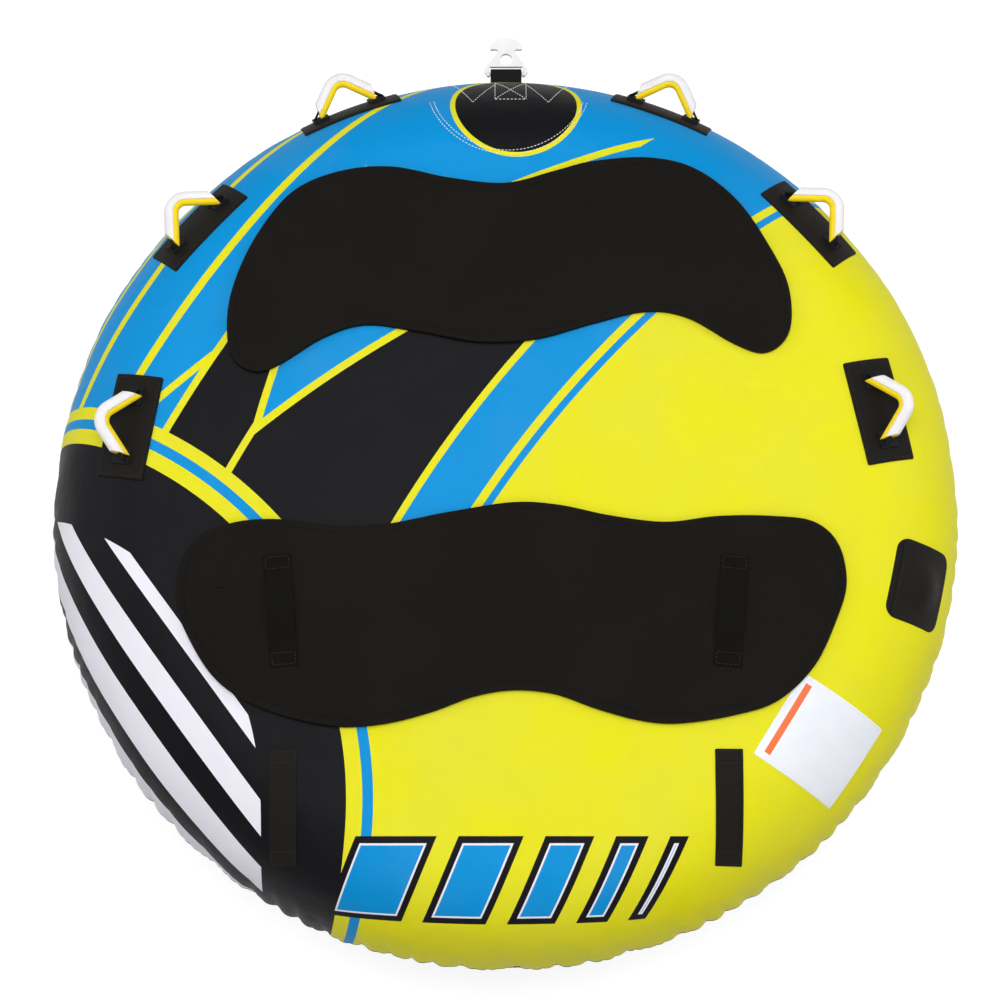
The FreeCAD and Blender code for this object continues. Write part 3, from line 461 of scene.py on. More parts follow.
# the round field at the lower left, with slanted bars that thin out
printBands += [(name, {"field": (None, far)}) for name, far in (
    ("yellow", 0.80), ("blue", 0.775), ("yellow", 0.755), ("black", 0.725))]
printBands += [("white", {"slant": span, "field": (None, 0.565)}) for span in (
    (-1.02, -0.93), (-0.88, -0.815), (-0.765, -0.72), (-0.67, -0.645))]
# slanted bars behind the knee pad, where the sheet is plain yellow
printBands += [(name, {"lean": (low + trim, high - trim), "row": (None, 0.085 - trim)})
               for trim, name in ((0.0, "black"), (0.013, "white"), (0.017, "blue"))
               for low, high in ((0.0, 0.15), (0.19, 0.31), (0.35, 0.44), (0.48, 0.54), (0.58, 0.615))]
# a plain black round where the tow webbing is sewn on
printBands += [(name, {"tow": (None, far)}) for name, far in (
    ("blue", 0.150), ("yellow", 0.132), ("black", 0.122))]


# 840-denier nylon, dye printed: the ground is yellow, and long curved bands sweep over it
def printMaterial():
    material, tree, shader = newMaterial("printed_nylon", 0.5, 1.53, 0.10)
    drift = noiseOf(tree, objectVector(tree), 5.0, 2.0)
    parts = axesOf(tree, clothVector(tree))
    place = addNode(tree, "ShaderNodeCombineXYZ", {}, {0: parts[0], 1: parts[1]}).outputs[0]

    def mix(firstShare, secondShare):
        first = calc(tree, "MULTIPLY", parts[0], firstShare)
        return calc(tree, "ADD", first, calc(tree, "MULTIPLY", parts[1], secondShare))

    # how far the cloth is from each centre, along the slanted ways, and from the row of bars
    lines = {"slant": mix(0.80, 0.60), "lean": mix(1.0, -0.42),
             "row": calc(tree, "ABSOLUTE", calc(tree, "ADD", parts[1], 0.745))}
    for name, centre in printCircles.items():
        links = {0: place, 1: centre + (0.0,)}
        lines[name] = addNode(tree, "ShaderNodeVectorMath", {"operation": "DISTANCE"}, links).outputs["Value"]
    colour = linear(printColours["yellow"])
    for name, limits in printBands:
        mask = None
        for line, span in limits.items():
            for operation, limit in zip(("GREATER_THAN", "LESS_THAN"), span):
                if limit is not None:
                    side = calc(tree, operation, lines[line], limit)
                    mask = side if mask is None else calc(tree, "MULTIPLY", mask, side)
        colour = blendColours(tree, mask, colour, linear(printColours[name]))

    faded = addNode(tree, "ShaderNodeHueSaturation", {}, {
        "Hue": 0.5, "Saturation": calc(tree, "MULTIPLY_ADD", drift, 0.08, 0.96),
        "Value": calc(tree, "MULTIPLY_ADD", drift, 0.08, 0.96), "Color": colour}).outputs[0]
    feed(shader, "Base Color", faded)
    weave = weaveHeight(tree, place, 0.0009)
    puckers = noiseOf(tree, place, 7.0, 3.0, 0.55)
    soft = bumpOf(tree, puckers, 0.02, 0.35)
    feed(shader, "Normal", bumpOf(tree, weave, 0.0002, 0.35, soft))
    return material


# EVA foam sheet faced with knitted nylon: nearly black, a fine pebble that takes little light
def padMaterial():
    material, tree, shader = newMaterial("foam_sheet", 0.82, 1.45, 0.12)
    place = objectVector(tree)
    cells = addNode(tree, "ShaderNodeTexVoronoi", {"feature": "SMOOTH_F1"}, {
        "Vector": place, "Scale": 420.0}).outputs["Distance"]
    slow = noiseOf(tree, place, 6.0, 4.0)
    share = calc(tree, "ADD", calc(tree, "MULTIPLY", cells, 0.3), calc(tree, "MULTIPLY", slow, 0.6))
    colour = blendColours(tree, share, linear("#0E0C0A"), linear("#1C1915"))
    feed(shader, "Base Color", colour)
    gap = axesOf(tree, clothVector(tree))[2]
    worn = addNode(tree, "ShaderNodeMapRange", {}, {
        "Value": gap, "From Min": 0.0, "From Max": 0.006, "To Min": 0.7, "To Max": 0.84}).outputs[0]
    feed(shader, "Roughness", worn)
    soft = bumpOf(tree, slow, 0.006, 0.3)
    feed(shader, "Normal", bumpOf(tree, cells, 0.0006, 0.5, soft))
    return material


# vinyl-coated label cloth, left blank, with one orange band along its head
def labelMaterial(width, length):
    material, tree, shader = newMaterial("label_vinyl", 0.38, 1.5)
    place = clothVector(tree)
    parts = axesOf(tree, place)
    band = calc(tree, "LESS_THAN", calc(tree, "ABSOLUTE", calc(tree, "ADD", parts[1], length * 0.40)), 0.006)
    side = calc(tree, "LESS_THAN", calc(tree, "ABSOLUTE", parts[0]), width * 0.42)
    band = calc(tree, "MULTIPLY", band, side)
    slow = noiseOf(tree, place, 14.0, 3.0)
    ground = blendColours(tree, slow, linear("#DDE1EA"), linear("#ECEEF3"))
    feed(shader, "Base Color", blendColours(tree, band, ground, linear("#E8641A")))
    soft = bumpOf(tree, slow, 0.004, 0.4)
    feed(shader, "Normal", bumpOf(tree, weaveHeight(tree, place, 0.0011), 0.0001, 0.4, soft))
    return material


# EVA grip foam: closed cells cut open at the skin, bright yellow, dull
def gripMaterial():
    material, tree, shader = newMaterial("grip_foam", 0.7, 1.45)
    cells = addNode(tree, "ShaderNodeTexVoronoi", {}, {
        "Vector": objectVector(tree), "Scale": 700.0}).outputs["Distance"]
    slow = noiseOf(tree, objectVector(tree), 60.0)
    share = calc(tree, "ADD", calc(tree, "MULTIPLY", cells, 0.5), calc(tree, "MULTIPLY", slow, 0.5))
    colour = blendColours(tree, share, linear("#F4D008"), linear("#FFE614"))
    feed(shader, "Base Color", colour)
    feed(shader, "Normal", bumpOf(tree, cells, 0.0005, 0.6))
    shader.inputs["Subsurface Weight"].default_value = 0.08
    shader.inputs["Subsurface Radius"].default_value = (0.004, 0.003, 0.001)
    return material


# moulded plastic: fine spark-eroded grain, with colour and roughness that drift slowly
def mouldedMaterial(name, code, roughness, ior=1.53):
    material, tree, shader = newMaterial(name, roughness, ior)
    grain = noiseOf(tree, objectVector(tree), 900.0, 2.0)
    slow = noiseOf(tree, objectVector(tree), 40.0, 3.0)
    base = linear(code)
    dull = tuple(c * 0.86 for c in base[:3]) + (1.0,)
    feed(shader, "Base Color", blendColours(tree, slow, dull, base))
    rough = calc(tree, "MULTIPLY_ADD", slow, 0.16, roughness - 0.08)
    feed(shader, "Roughness", rough)
    feed(shader, "Normal", bumpOf(tree, grain, 0.0002, 0.35))
    return material


# calendered PVC sheet of the bladder: milky, faintly see-through, welded smooth
def vinylMaterial(name, code, clear):
    material, tree, shader = newMaterial(name, 0.28, 1.53)
    slow = noiseOf(tree, objectVector(tree), 12.0, 3.0)
    base = linear(code)
    dull = tuple(c * 0.9 for c in base[:3]) + (1.0,)
    feed(shader, "Base Color", blendColours(tree, slow, dull, base))
    feed(shader, "Normal", bumpOf(tree, slow, 0.004, 0.3))
    shader.inputs["Transmission Weight"].default_value = clear
    return material


# coarse knitted mesh: black cords, with painted shade in the holes between them
def meshMaterial():
    material, tree, shader = newMaterial("drain_net", 0.7, 1.5)
    weave = weaveHeight(tree, clothVector(tree), 0.005)
    hole = calc(tree, "GREATER_THAN", weave, 0.72)
    # the holes get a near-black colour: painted shade where one looks through the mesh
    colour = blendColours(tree, hole, linear("#2B2B2D"), linear("#050506"))
    feed(shader, "Base Color", colour)
    feed(shader, "Normal", bumpOf(tree, weave, -0.001, 0.8))
    return material


printed = printMaterial()
blackNylon = clothMaterial("black_nylon", "#17171B", 0.55, 0.0012, 0.0003, flat=False)
patchCloth = clothMaterial("ballistic_nylon", "#14120F", 0.62, 0.0016, 0.0004)
webbing = clothMaterial("polyester_webbing", "#15130F", 0.68, 0.0030, 0.0006, drift=0.2)
# the pad straps' webbing: the same webbing with painted shade, a darker colour that offsets the light caught
# by their raised middles; it is also rougher and shines less
shadedWebbing = clothMaterial("worn_webbing", "#0F0E0B", 0.8, 0.0030, 0.0004, drift=0.2, shine=0.05)
wrapCloth = clothMaterial("white_wrap", "#E6E3E6", 0.5, 0.0022, 0.0004, drift=0.3)
pipingCloth = clothMaterial("piping_cloth", "#1A1A1C", 0.6, 0.0015, 0.0003, flat=False)
foamSheet = padMaterial()
gripFoam = gripMaterial()
whiteThread = clothMaterial("white_thread", "#E9E7E4", 0.55, 0.0009, 0.0002, flat=False)
darkThread = clothMaterial("dark_thread", "#34312C", 0.6, 0.0009, 0.0002, flat=False)
hookPlastic = mouldedMaterial("glass_filled_nylon", "#F4F3F1", 0.42)
valvePlastic = mouldedMaterial("valve_plastic", "#1B1B1D", 0.45)
zipPlastic = mouldedMaterial("zip_plastic", "#19191B", 0.35)
bladderVinyl = vinylMaterial("bladder_vinyl", "#DADCDD", 0.15)
clearVinyl = vinylMaterial("clear_vinyl", "#C6C9CC", 0.5)
drainNet = meshMaterial()
print("materials made")


# the covers: arc along the skin from the middle to the seam, angle round the tube
covers = {
    "around": 960, "crownRows": 10, "rimRows": 39, "lowRows": 45, "footRows": 4, "seamGap": 0.0012,
    "thick": 0.002, "wave": 0.0012, "pucker": 0.0085, "puckerReach": 0.062, "underReach": 0.035,
    "seamTuck": 0.0015, "tuckReach": 0.007, "calmReach": 0.30, "deepest": 0.0019, "port": 0.031,
}
angles = turnsOf(covers["around"])


# height = slow waves over the rim + gathers that die away from the seam: bulges between sharp
# notches, gather(a, d) = depth exp(-(d / reach)^2) (|sin(n a / 2 + drift)|^0.7 - 0.35). It is calm
# round the tow point, where a sewn plate lies on the cover, and never as deep as the bladder
def coverHeight(arc, angle):
    toSeam = np.abs(seamArc - arc)
    rimShare = np.clip((arc - crownArc) / (seamArc - crownArc), 0, 1)
    slow = np.sin(11 * angle + 0.4) * np.sin(17 * arc + 1.1) + 0.6 * np.sin(23 * angle + 9 * arc)
    gather = 0.55 + 0.45 * np.cos(angle + math.pi / 2 + 0.25)
    drift = 1.6 * np.sin(7 * angle + 0.5) + 0.9 * np.sin(19 * angle + 2.0)
    fold = np.abs(np.sin(43 * angle + drift + 11 * toSeam)) ** 0.7 - 0.35
    fine = np.abs(np.sin(101 * angle - 2 * drift - 17 * toSeam)) ** 0.7 - 0.35
    fade = np.exp(-(toSeam / covers["puckerReach"]) ** 2)
    fineFade = np.exp(-(toSeam / (covers["puckerReach"] * 0.5)) ** 2)
    pucker = gather * (fold * fade + 0.35 * fine * fineFade)
    tuck = covers["seamTuck"] * np.exp(-(toSeam / covers["tuckReach"]) ** 2)
    calm = 1 - np.exp(-((angle - math.pi / 2) / covers["calmReach"]) ** 4)
    height = calm * (covers["wave"] * slow * rimShare + covers["pucker"] * pucker) - tuck
    return np.maximum(height, -covers["deepest"])


valveJoint = joints["valve_cap_turn"]
valveOut = np.array(valveJoint["axis"])
valvePlace = rimPlace(valveJoint["pos_m"])


# rings of quads round a middle point, which is the first
def discFaces(rows):
    count = covers["around"]
    return ringFaces(rows, count, 1) + [(0, 1 + (k + 1) % count, 1 + k) for k in range(count)]


# a cover faces outward, and its wall grows in from there
def coverPiece(name, spots, faces, material, node, cloth=None):
    piece = makePiece(name, spots, faces, material, cloth=cloth, weld=False)
    work = bmesh.new()
    work.from_mesh(piece.data)
    bmesh.ops.delete(work, geom=[v for v in work.verts if not v.link_faces], context="VERTS")
    outermost = max(work.faces, key=lambda f: abs(f.calc_center_median().z - rimRadius))
    if outermost.normal.z * (outermost.calc_center_median().z - rimRadius) < 0:
        bmesh.ops.reverse_faces(work, faces=work.faces)
    work.to_mesh(piece.data)
    work.free()
    wall = piece.modifiers.new("wall", "SOLIDIFY")
    wall.thickness = covers["thick"]
    wall.offset = -1.0
    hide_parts(node)


# rows over the rim that draw closer towards the seam, where the gathers are:
# start + (end - start) (1 - s^1.3), with s falling evenly to 0
def rowsToSeam(start, end, count):
    return start + (end - start) * (1 - np.linspace(1, 0, count + 1)[1:] ** 1.3)


# the printed top, from the crown's middle to the seam, with a round port cut out over the valve: the
# points round the hole are moved straight out from the valve's axis onto the port's circle
def makeTop():
    rows = np.concatenate([np.linspace(0, crownArc, covers["crownRows"] + 1)[1:],
                           rowsToSeam(crownArc, seamArc - covers["seamGap"], covers["rimRows"])])
    arc, angle = np.meshgrid(rows, angles, indexing="ij")
    points = onSkin(arc, angle, coverHeight(arc, angle))
    flat = polar(arc, angle, seamArc - arc)
    spots = np.concatenate([onSkin(0.0, 0.0)[None], points.reshape(-1, 3)])
    cloth = np.concatenate([[[0.0, 0.0, seamArc]], flat.reshape(-1, 3)])
    across = spots - valvePlace[0]
    near = np.linalg.norm(across, axis=1) < 3 * covers["port"]
    across = across - np.outer(across @ valveOut, valveOut)
    reach = np.linalg.norm(across, axis=1)
    inside = near & (reach < covers["port"])
    faces = discFaces(len(rows))
    quads = np.array(faces[:-covers["around"]])
    cut = inside[quads].any(axis=1)
    rim = np.setdiff1d(quads[cut], np.flatnonzero(inside))
    spots[rim] = settle(valvePlace[0] + across[rim] / reach[rim, None] * covers["port"], valveOut, 0.0)
    faces = quads[~cut].tolist() + faces[-covers["around"]:]
    coverPiece("cover_print_top", spots, faces, printed, "cover_top", cloth)


# the underside: a flat disc out to the foot of the rim, then the lower rim arc up to the seam
def makeUnderside():
    discs = np.linspace(0, deckRadius, covers["footRows"] + 1)[1:]
    rho, turn = np.meshgrid(discs, angles, indexing="ij")
    disc = polar(rho, turn, np.zeros_like(rho))
    footArc = crownArc + rimRadius * (math.pi - crownTilt)
    lowRows = rowsToSeam(footArc, seamArc + covers["seamGap"], covers["lowRows"])
    arc, angle = np.meshgrid(lowRows, angles, indexing="ij")
    fade = np.exp(-((arc - seamArc) / covers["underReach"]) ** 2)
    rim = onSkin(arc, angle, coverHeight(arc, angle) * fade)
    spots = np.concatenate([[[0.0, 0.0, 0.0]], disc.reshape(-1, 3), rim.reshape(-1, 3)])
    coverPiece("cover_black_bottom", spots, discFaces(len(discs) + len(lowRows)), blackNylon,
               "cover_bottom")


makeTop()
makeUnderside()


# piping: a round cord in the seam, that goes in and out with the covers' gathers
piping = {"sides": 8, "radius": 0.002, "sunk": 0.0015, "readAt": 0.012}


def makePiping():
    height = coverHeight(np.full(len(angles), seamArc - piping["readAt"]), angles)
    angle, turn = np.meshgrid(angles, turnsOf(piping["sides"]), indexing="ij")
    rho = tubeRadius - piping["sunk"] + height[:, None] + piping["radius"] * np.cos(turn)
    high = rimRadius + piping["radius"] * np.sin(turn)
    piece = loftPiece("seam_piping", polar(rho, angle, high), pipingCloth, closed=True)
    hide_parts("rim_piping")


makePiping()
print("covers made")


# foam pads, cut from sheet with a sewn groove inside the edge; the outlines are smooth closed curves
# through these places on the deck, in millimetres
chestPlaces = [
    (0, 606), (-110, 617), (-225, 641), (-330, 631), (-420, 588), (-490, 490), (-530, 385),
    (-536, 300), (-520, 245), (-478, 222), (-430, 239), (-350, 290), (-268, 315), (-160, 299),
    (-50, 279), (60, 286), (170, 318), (270, 342), (350, 330), (440, 278), (500, 262),
    (545, 305), (546, 395), (510, 480), (450, 575), (370, 640), (280, 661), (170, 652),
    (100, 633),
]
kneePlaces = [
    (13, -36), (-110, -55), (-230, -78), (-330, -80), (-430, -67), (-510, -72), (-575, -98),
    (-612, -150), (-616, -230), (-597, -285), (-550, -360), (-490, -408), (-414, -439),
    (-320, -459), (-230, -455), (-140, -433), (-60, -404), (13, -392), (90, -399),
    (170, -427), (250, -448), (320, -453), (420, -438), (505, -410), (575, -345),
    (620, -255), (640, -185), (626, -112), (580, -70), (500, -60), (400, -61), (300, -73),
    (196, -61), (100, -41),
]
pads = {"thick": 0.012, "inset": 0.014, "depth": 0.0016, "width": 0.0014, "samples": 150, "curve": 24,
        "coreShare": 0.86, "sunk": 0.0005, "inner": 26, "fill": 0.5}


# the closed curve, a periodic cubic with tangents (next - last) / 2, cut at its left and right
# ends into two runs that pair off at the same x
def padOutline(places):
    knots = np.array(places, float) / 1000
    last, following, after = np.roll(knots, 1, 0), np.roll(knots, -1, 0), np.roll(knots, -2, 0)
    t = np.linspace(0, 1, pads["curve"], endpoint=False)[:, None]
    knots, last, following, after = knots[:, None], last[:, None], following[:, None], after[:, None]
    line = (0.5 * (2 * knots + (following - last) * t
                   + (2 * last - 5 * knots + 4 * following - after) * t ** 2
                   + (3 * knots - last - 3 * following + after) * t ** 3)).reshape(-1, 2)
    line = np.roll(line, -int(np.argmin(line[:, 0])), axis=0)
    right = int(np.argmax(line[:, 0]))
    first, second = line[:right + 1], np.concatenate([line[right:], line[:1]])[::-1]
    turn = np.linspace(0, math.pi, pads["samples"])
    x = line[0, 0] + (line[right, 0] - line[0, 0]) * (1 - np.cos(turn)) / 2
    one = np.column_stack([x, np.interp(x, np.maximum.accumulate(first[:, 0]), first[:, 1])])
    two = np.column_stack([x, np.interp(x, np.maximum.accumulate(second[:, 0]), second[:, 1])])
    middle = np.column_stack([x.mean() + (x - x.mean()) * pads["coreShare"], (one[:, 1] + two[:, 1]) / 2])
    edge = np.concatenate([one, two[-2:0:-1]])
    core = np.concatenate([middle, middle[-2:0:-1]])
    return edge, core


for word, places in (("chest_pad", chestPlaces), ("knee_pad", kneePlaces)):
    edge, core = padOutline(places)
    pad = sheetPiece(word + "_sheet", edge, core, ontoDeck(), -pads["sunk"], pads["thick"], foamSheet,
                     groove=pads, inner=pads["inner"])
    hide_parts(word)
print("pads made")


# a box of stitches inside a patch's edge, and a cross in it where the patch carries load
def stitchRectangle(name, width, depth, inset, onto, lift, thread, cross=False):
    edge, _ = roundedOutline(width - 2 * inset, depth - 2 * inset, stitch["corner"])
    line = onto(edge, np.full(len(edge), lift))
    stitchPiece(name, line, thread)
    if cross:
        for number, sign in enumerate((-1, 1)):
            share = np.linspace(-1, 1, stitch["cross"])
            flat = np.column_stack([share * (width / 2 - inset), sign * share * (depth / 2 - inset)])
            stitchPiece("%s_cross_%d" % (name, number + 1), onto(flat, np.full(len(flat), lift)), thread,
                        closed=False)


# webbing straps sewn flat
straps = {"flat": (0.052, 0.212, 0.002), "thick": 0.0025, "toeIn": 5.0, "sunk": 0.0002,
          "rise": 0.004, "riseReach": 0.085, "boxAt": 0.091, "boxLength": 0.030, "inset": 0.004,
          "threadLift": 0.0003}


# the middle of a pad strap is left open and stands a little proud, as a loop to grip:
# rise (1 - (y / reach)^2)^2
def strapRise(flat):
    return straps["rise"] * np.clip(1 - (flat[:, 1] / straps["riseReach"]) ** 2, 0, 1) ** 2


# the same way to lay flat points, for a place further forward
def movedForward(onto, way):
    return lambda flat, lift: onto(flat + [0, way], lift)


for side, word in ((-1, "left"), (1, "right")):
    for kind, base, turn, cloth, under, raised in (
            ("deck_strap_", 0.0, 0.0, webbing, "cover_print_top", None),
            ("pad_strap_", pads["thick"], straps["toeIn"], shadedWebbing, "knee_pad_sheet", strapRise)):
        low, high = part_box(kind + word)
        onto = ontoDeck(((low.x + high.x) / 2, (low.y + high.y) / 2), math.radians(-side * turn))
        patchPiece(kind + word + "_webbing", kind + word, straps["flat"], onto, base + straps["sunk"],
                   base + straps["thick"], cloth, under=under, raised=raised)
        for end, letter in ((-1, "f"), (1, "b")):
            stitchRectangle("%s%s_stitch_%s" % (kind, word, letter), straps["flat"][0],
                            straps["boxLength"], straps["inset"],
                            movedForward(onto, end * straps["boxAt"]),
                            base + straps["thick"] + straps["threadLift"], darkThread)

# the blank label patch
labelLow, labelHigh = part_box("label_patch")
labels = {"flat": (0.180, 0.200, 0.003), "turn": 6.6, "thick": 0.001, "sunk": 0.0001,
          "inset": 0.004, "threadLift": 0.0002}
labelMiddle = (labelLow + labelHigh) / 2
labelTilt = math.asin((math.hypot(labelMiddle.x, labelMiddle.y) - deckRadius) / rimRadius)
labelFrame = rimFrame(math.atan2(labelMiddle.y, labelMiddle.x), labelTilt)
labelOnto = ontoRim(labelFrame, math.radians(labels["turn"]))
width, depth = labels["flat"][:2]
patchPiece("label_vinyl_patch", "label_patch", labels["flat"], labelOnto, labels["sunk"],
           labels["thick"], labelMaterial(width, depth), "label")
stitchRectangle("label_stitching", width, depth, labels["inset"], labelOnto,
                labels["thick"] + labels["threadLift"], whiteThread)

# the valve flap: a round-cornered panel with a shallow dome over the cap
flaps = {"width": 0.156, "length": 0.130, "corner": 0.024, "low": 0.0003, "thick": 0.002,
         "rise": 0.0123, "reach": 0.060, "hem": 0.010, "hemGap": 0.001, "hemLow": 0.0001, "hemThick": 0.002,
         "seamClear": 0.0004, "hemSpread": 0.66, "inset": 0.006, "threadLift": 0.0002}


# dome(q) = rise (1 + cos(pi q / reach)) / 2
def domeHeight(flat):
    q = np.minimum(np.hypot(flat[:, 0], flat[:, 1]), flaps["reach"])
    return flaps["rise"] * (1 + np.cos(math.pi * q / flaps["reach"])) / 2


# the flap and its hem are one rounded outline, cut in two by the seam that the flap turns about:
# the outline's points on one side of the seam, closed by a straight run along it
def flapOutline(hem, inset=0.0):
    seam = -flaps["length"] / 2 - (flaps["hemGap"] if hem else -inset)
    back = -flaps["length"] / 2 - flaps["hemGap"] - flaps["hem"] + inset
    front = flaps["length"] / 2 - inset
    corner = flaps["corner"] - inset
    whole, _ = roundedOutline(flaps["width"] - 2 * inset, front - back, corner)
    whole = whole + [0, (front + back) / 2]
    rise = max(back + corner - seam, 0)
    half = flaps["width"] / 2 - inset - corner + math.sqrt(corner ** 2 - rise ** 2)
    beyond = (seam - whole[:, 1]) * (1 if hem else -1)
    kept = whole[beyond > flaps["seamClear"]]
    kept = kept[np.argsort(np.arctan2(kept[:, 1] - seam, kept[:, 0]))]
    # the run's points face those across from it, so that both sides meet on the middle line
    facing = kept[:, 0] if hem else whole[whole[:, 1] > front - corner, 0]
    run = np.unique(np.round(np.clip(np.append(facing, (-half, half)), -half, half), 6))
    if hem:
        run, spread, middle = run[::-1], half * flaps["hemSpread"], (seam + back) / 2
    else:
        spread, middle = (flaps["width"] - flaps["length"]) / 2, 0.0
    edge = np.concatenate([kept, np.column_stack([run, np.full(len(run), seam)])])
    core = np.column_stack([np.clip(edge[:, 0], -spread, spread), np.full(len(edge), middle)])
    return edge, core


flapOnto = ontoRim(valvePlace)
edge, core = flapOutline(False)
flapTop = flaps["low"] + flaps["thick"]
flap = sheetPiece("valve_flap_cloth", edge, core, flapOnto, flaps["low"], flapTop, patchCloth,
                  "valve_flap", inner=30, raised=domeHeight)
declare(flap, (flaps["width"], flaps["length"]), "valve_flap", "webbing")
inset, _ = flapOutline(False, flaps["inset"])
threadHeight = domeHeight(inset) + flapTop + flaps["threadLift"]
stitchPiece("valve_flap_stitching", flapOnto(inset, threadHeight), darkThread, "valve_flap")


# a binding ring round the cover's port, of a flattened round section: port + wide cos(t) out from
# the valve's axis and thick sin(t) up
binding = {"around": 72, "sides": 10, "wide": 0.0025, "thick": 0.0012, "sunk": 0.0009}


def makePortBinding():
    angle, turn = np.meshgrid(turnsOf(binding["around"]), turnsOf(binding["sides"]), indexing="ij")
    reach = covers["port"] + binding["wide"] * np.cos(turn)
    flat = np.stack([reach * np.cos(angle), reach * np.sin(angle)], axis=-1).reshape(-1, 2)
    rings = flapOnto(flat, (-binding["sunk"] + binding["thick"] * np.sin(turn)).ravel())
    loftPiece("valve_port_binding", rings.reshape(angle.shape + (3,)), blackNylon, closed=True)


makePortBinding()
edge, core = flapOutline(True)
hem = sheetPiece("valve_flap_hem", edge, core, flapOnto, flaps["hemLow"], flaps["hemThick"],
                 patchCloth, inner=4)
declare(hem, (np.ptp(edge[:, 0]), flaps["hem"]), "flap_hem", "webbing")
print("sewn pieces made")

# handles: a foam core in a white wrap that is open along the side of the fingers
handle = {
    "span": 0.118, "slope": 45.0, "bend": 0.030, "foam": 0.0112, "wrap": 0.0130, "proud": 0.0042,
    "thin": 0.0020, "open": 66.0, "cutFade": 0.021, "swing": 60.0, "bendZone": 0.018,
    "patch": (0.206, 0.097, 0.004, 0.004), "patchLow": 0.0001, "inset": 0.006, "threadLift": 0.0002,
}


# the loop in its own plane: a leg, a round top that both legs touch, and a leg
def handleLine():
    slope = math.radians(handle["slope"])
    foot, bend = handle["span"] / 2, handle["bend"]
    centre = foot * math.tan(slope) - bend / math.cos(slope)
    touch = np.array([-bend * math.sin(slope), centre + bend * math.cos(slope)])
    left = [-foot, 0.0] + (touch - [-foot, 0.0]) * np.linspace(0, 1, 26)[:, None]
    turn = np.radians(np.linspace(90 + handle["slope"], 90 - handle["slope"], 23))[1:-1]
    top = np.column_stack([bend * np.cos(turn), centre + bend * np.sin(turn)])
    return np.concatenate([left, top, left[::-1] * [-1, 1]])


# a line's unit way along, the way square to it and the length run so far
def lineFrame(line):
    way = np.gradient(line, axis=0)
    way /= np.linalg.norm(way, axis=1)[:, None]
    run = np.concatenate([[0], np.cumsum(np.linalg.norm(np.diff(line, axis=0), axis=1))])
    return way, np.column_stack([-way[:, 1], way[:, 0]]), run


# rings across the loop; near the feet they lean over, point by point, until the last one lies
# square to the pivot: shift = -(out_x / way_x) u exp(-(gap / fade)^2) along the leg
def handleRings(line, origin, along, away, across, section):
    way, out, run = lineFrame(line)
    gap = np.minimum(run, run[-1] - run)
    lean = -out[:, 0] / way[:, 0] * np.exp(-(gap / handle["cutFade"]) ** 2)
    flat = line[:, None] + (out + way * lean[:, None])[:, None] * section[:, :1]
    rings = origin + flat[..., :1] * along + flat[..., 1:] * away + section[:, 1:] * across
    girth = np.broadcast_to(np.linspace(0, 0.08, len(section)), flat.shape[:2])
    far, ends = [np.broadcast_to(part[:, None], flat.shape[:2]) for part in (run, gap)]
    return rings, np.stack([far, girth, ends], axis=-1).reshape(-1, 3)


# foam: an oval that stands proud towards the fingers; x runs away from them, y across the loop
def foamSection():
    turn = turnsOf(24)
    proud = handle["proud"] / 2
    reach = handle["foam"] + proud
    return np.column_stack([reach * np.cos(turn) - proud, handle["foam"] * np.sin(turn)])


# wrap: an arc of cloth round the foam's far side, x = r cos(t), y = r sin(t), open towards the fingers
def wrapSection():
    half = math.radians(180 - handle["open"])
    turn = np.linspace(-half, half, 28)
    outside = handle["wrap"] * np.column_stack([np.cos(turn), np.sin(turn)])
    inside = (handle["wrap"] - handle["thin"]) * np.column_stack([np.cos(turn), np.sin(turn)])
    return np.concatenate([outside, inside[::-1]])


# one handle: its foam and wrap sleeves follow the loop and lean into the feet near the pivot; the patch stays
# with the tube
def makeHandle(word):
    joint = joints["handle_%s_swing" % word]
    place = rimPlace(joint["pos_m"])
    along, down, out = place[1:]
    pivot = np.array(joint["pos_m"])
    lean = math.radians(handle["swing"] - joint["range_deg"][1])
    away = out * math.cos(lean) + down * math.sin(lean)
    across = np.cross(along, away)
    line = handleLine()
    lineLength = lineFrame(line)[2][-1]
    body = "handle_" + word
    for kind, section, material, slot in (("foam", foamSection(), gripFoam, "grip_foam"),
                                          ("wrap", wrapSection(), wrapCloth, "white_wrap")):
        rings, cloth = handleRings(line, pivot, along, away, across, section)
        piece = loftPiece("%s_%s_sleeve" % (body, kind), rings, material, None, cloth=cloth)
        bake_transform(piece)
        node = "handle_%s_%s" % (kind, word)
        if kind == "foam":
            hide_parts(node)
        else:
            girth = np.linalg.norm(np.diff(section[:len(section) // 2], axis=0), axis=1).sum()
            declare(piece, (girth, lineLength), node, slot)
    width, depth, thick, corner = handle["patch"]
    onto = ontoRim(place)
    patchPiece("handle_patch_%s_cloth" % word, "handle_patch_" + word, (width, depth, corner), onto,
               handle["patchLow"], thick, patchCloth)
    stitchRectangle("handle_patch_%s_stitching" % word, width, depth, handle["inset"], onto,
                    thick + handle["threadLift"], darkThread)


for name in sorted(joints):
    if name.startswith("handle_"):
        makeHandle(name[len("handle_"):-len("_swing")])
print("handles made")

# tow point: webbing folded round the hook's bar, its patch and the arcs of stitching
tow = {
    "width": 0.064, "thick": 0.005, "bar": 0.0054, "rootGap": 0.004, "sunk": 0.003, "spread": 0.004,
    "patch": (0.120, 0.070, 0.004), "patchLow": 0.0005, "patchHigh": 0.006, "inset": 0.006,
    "threadLift": 0.0003, "deckLift": 0.0004, "thread": 0.0008,
    "arcs": (0.160, 0.152), "arcMiddle": (0.005, 0.83), "arcSpan": (192, 348),
}
hookPivot = np.array(joints["tow_hook_swing"]["pos_m"])


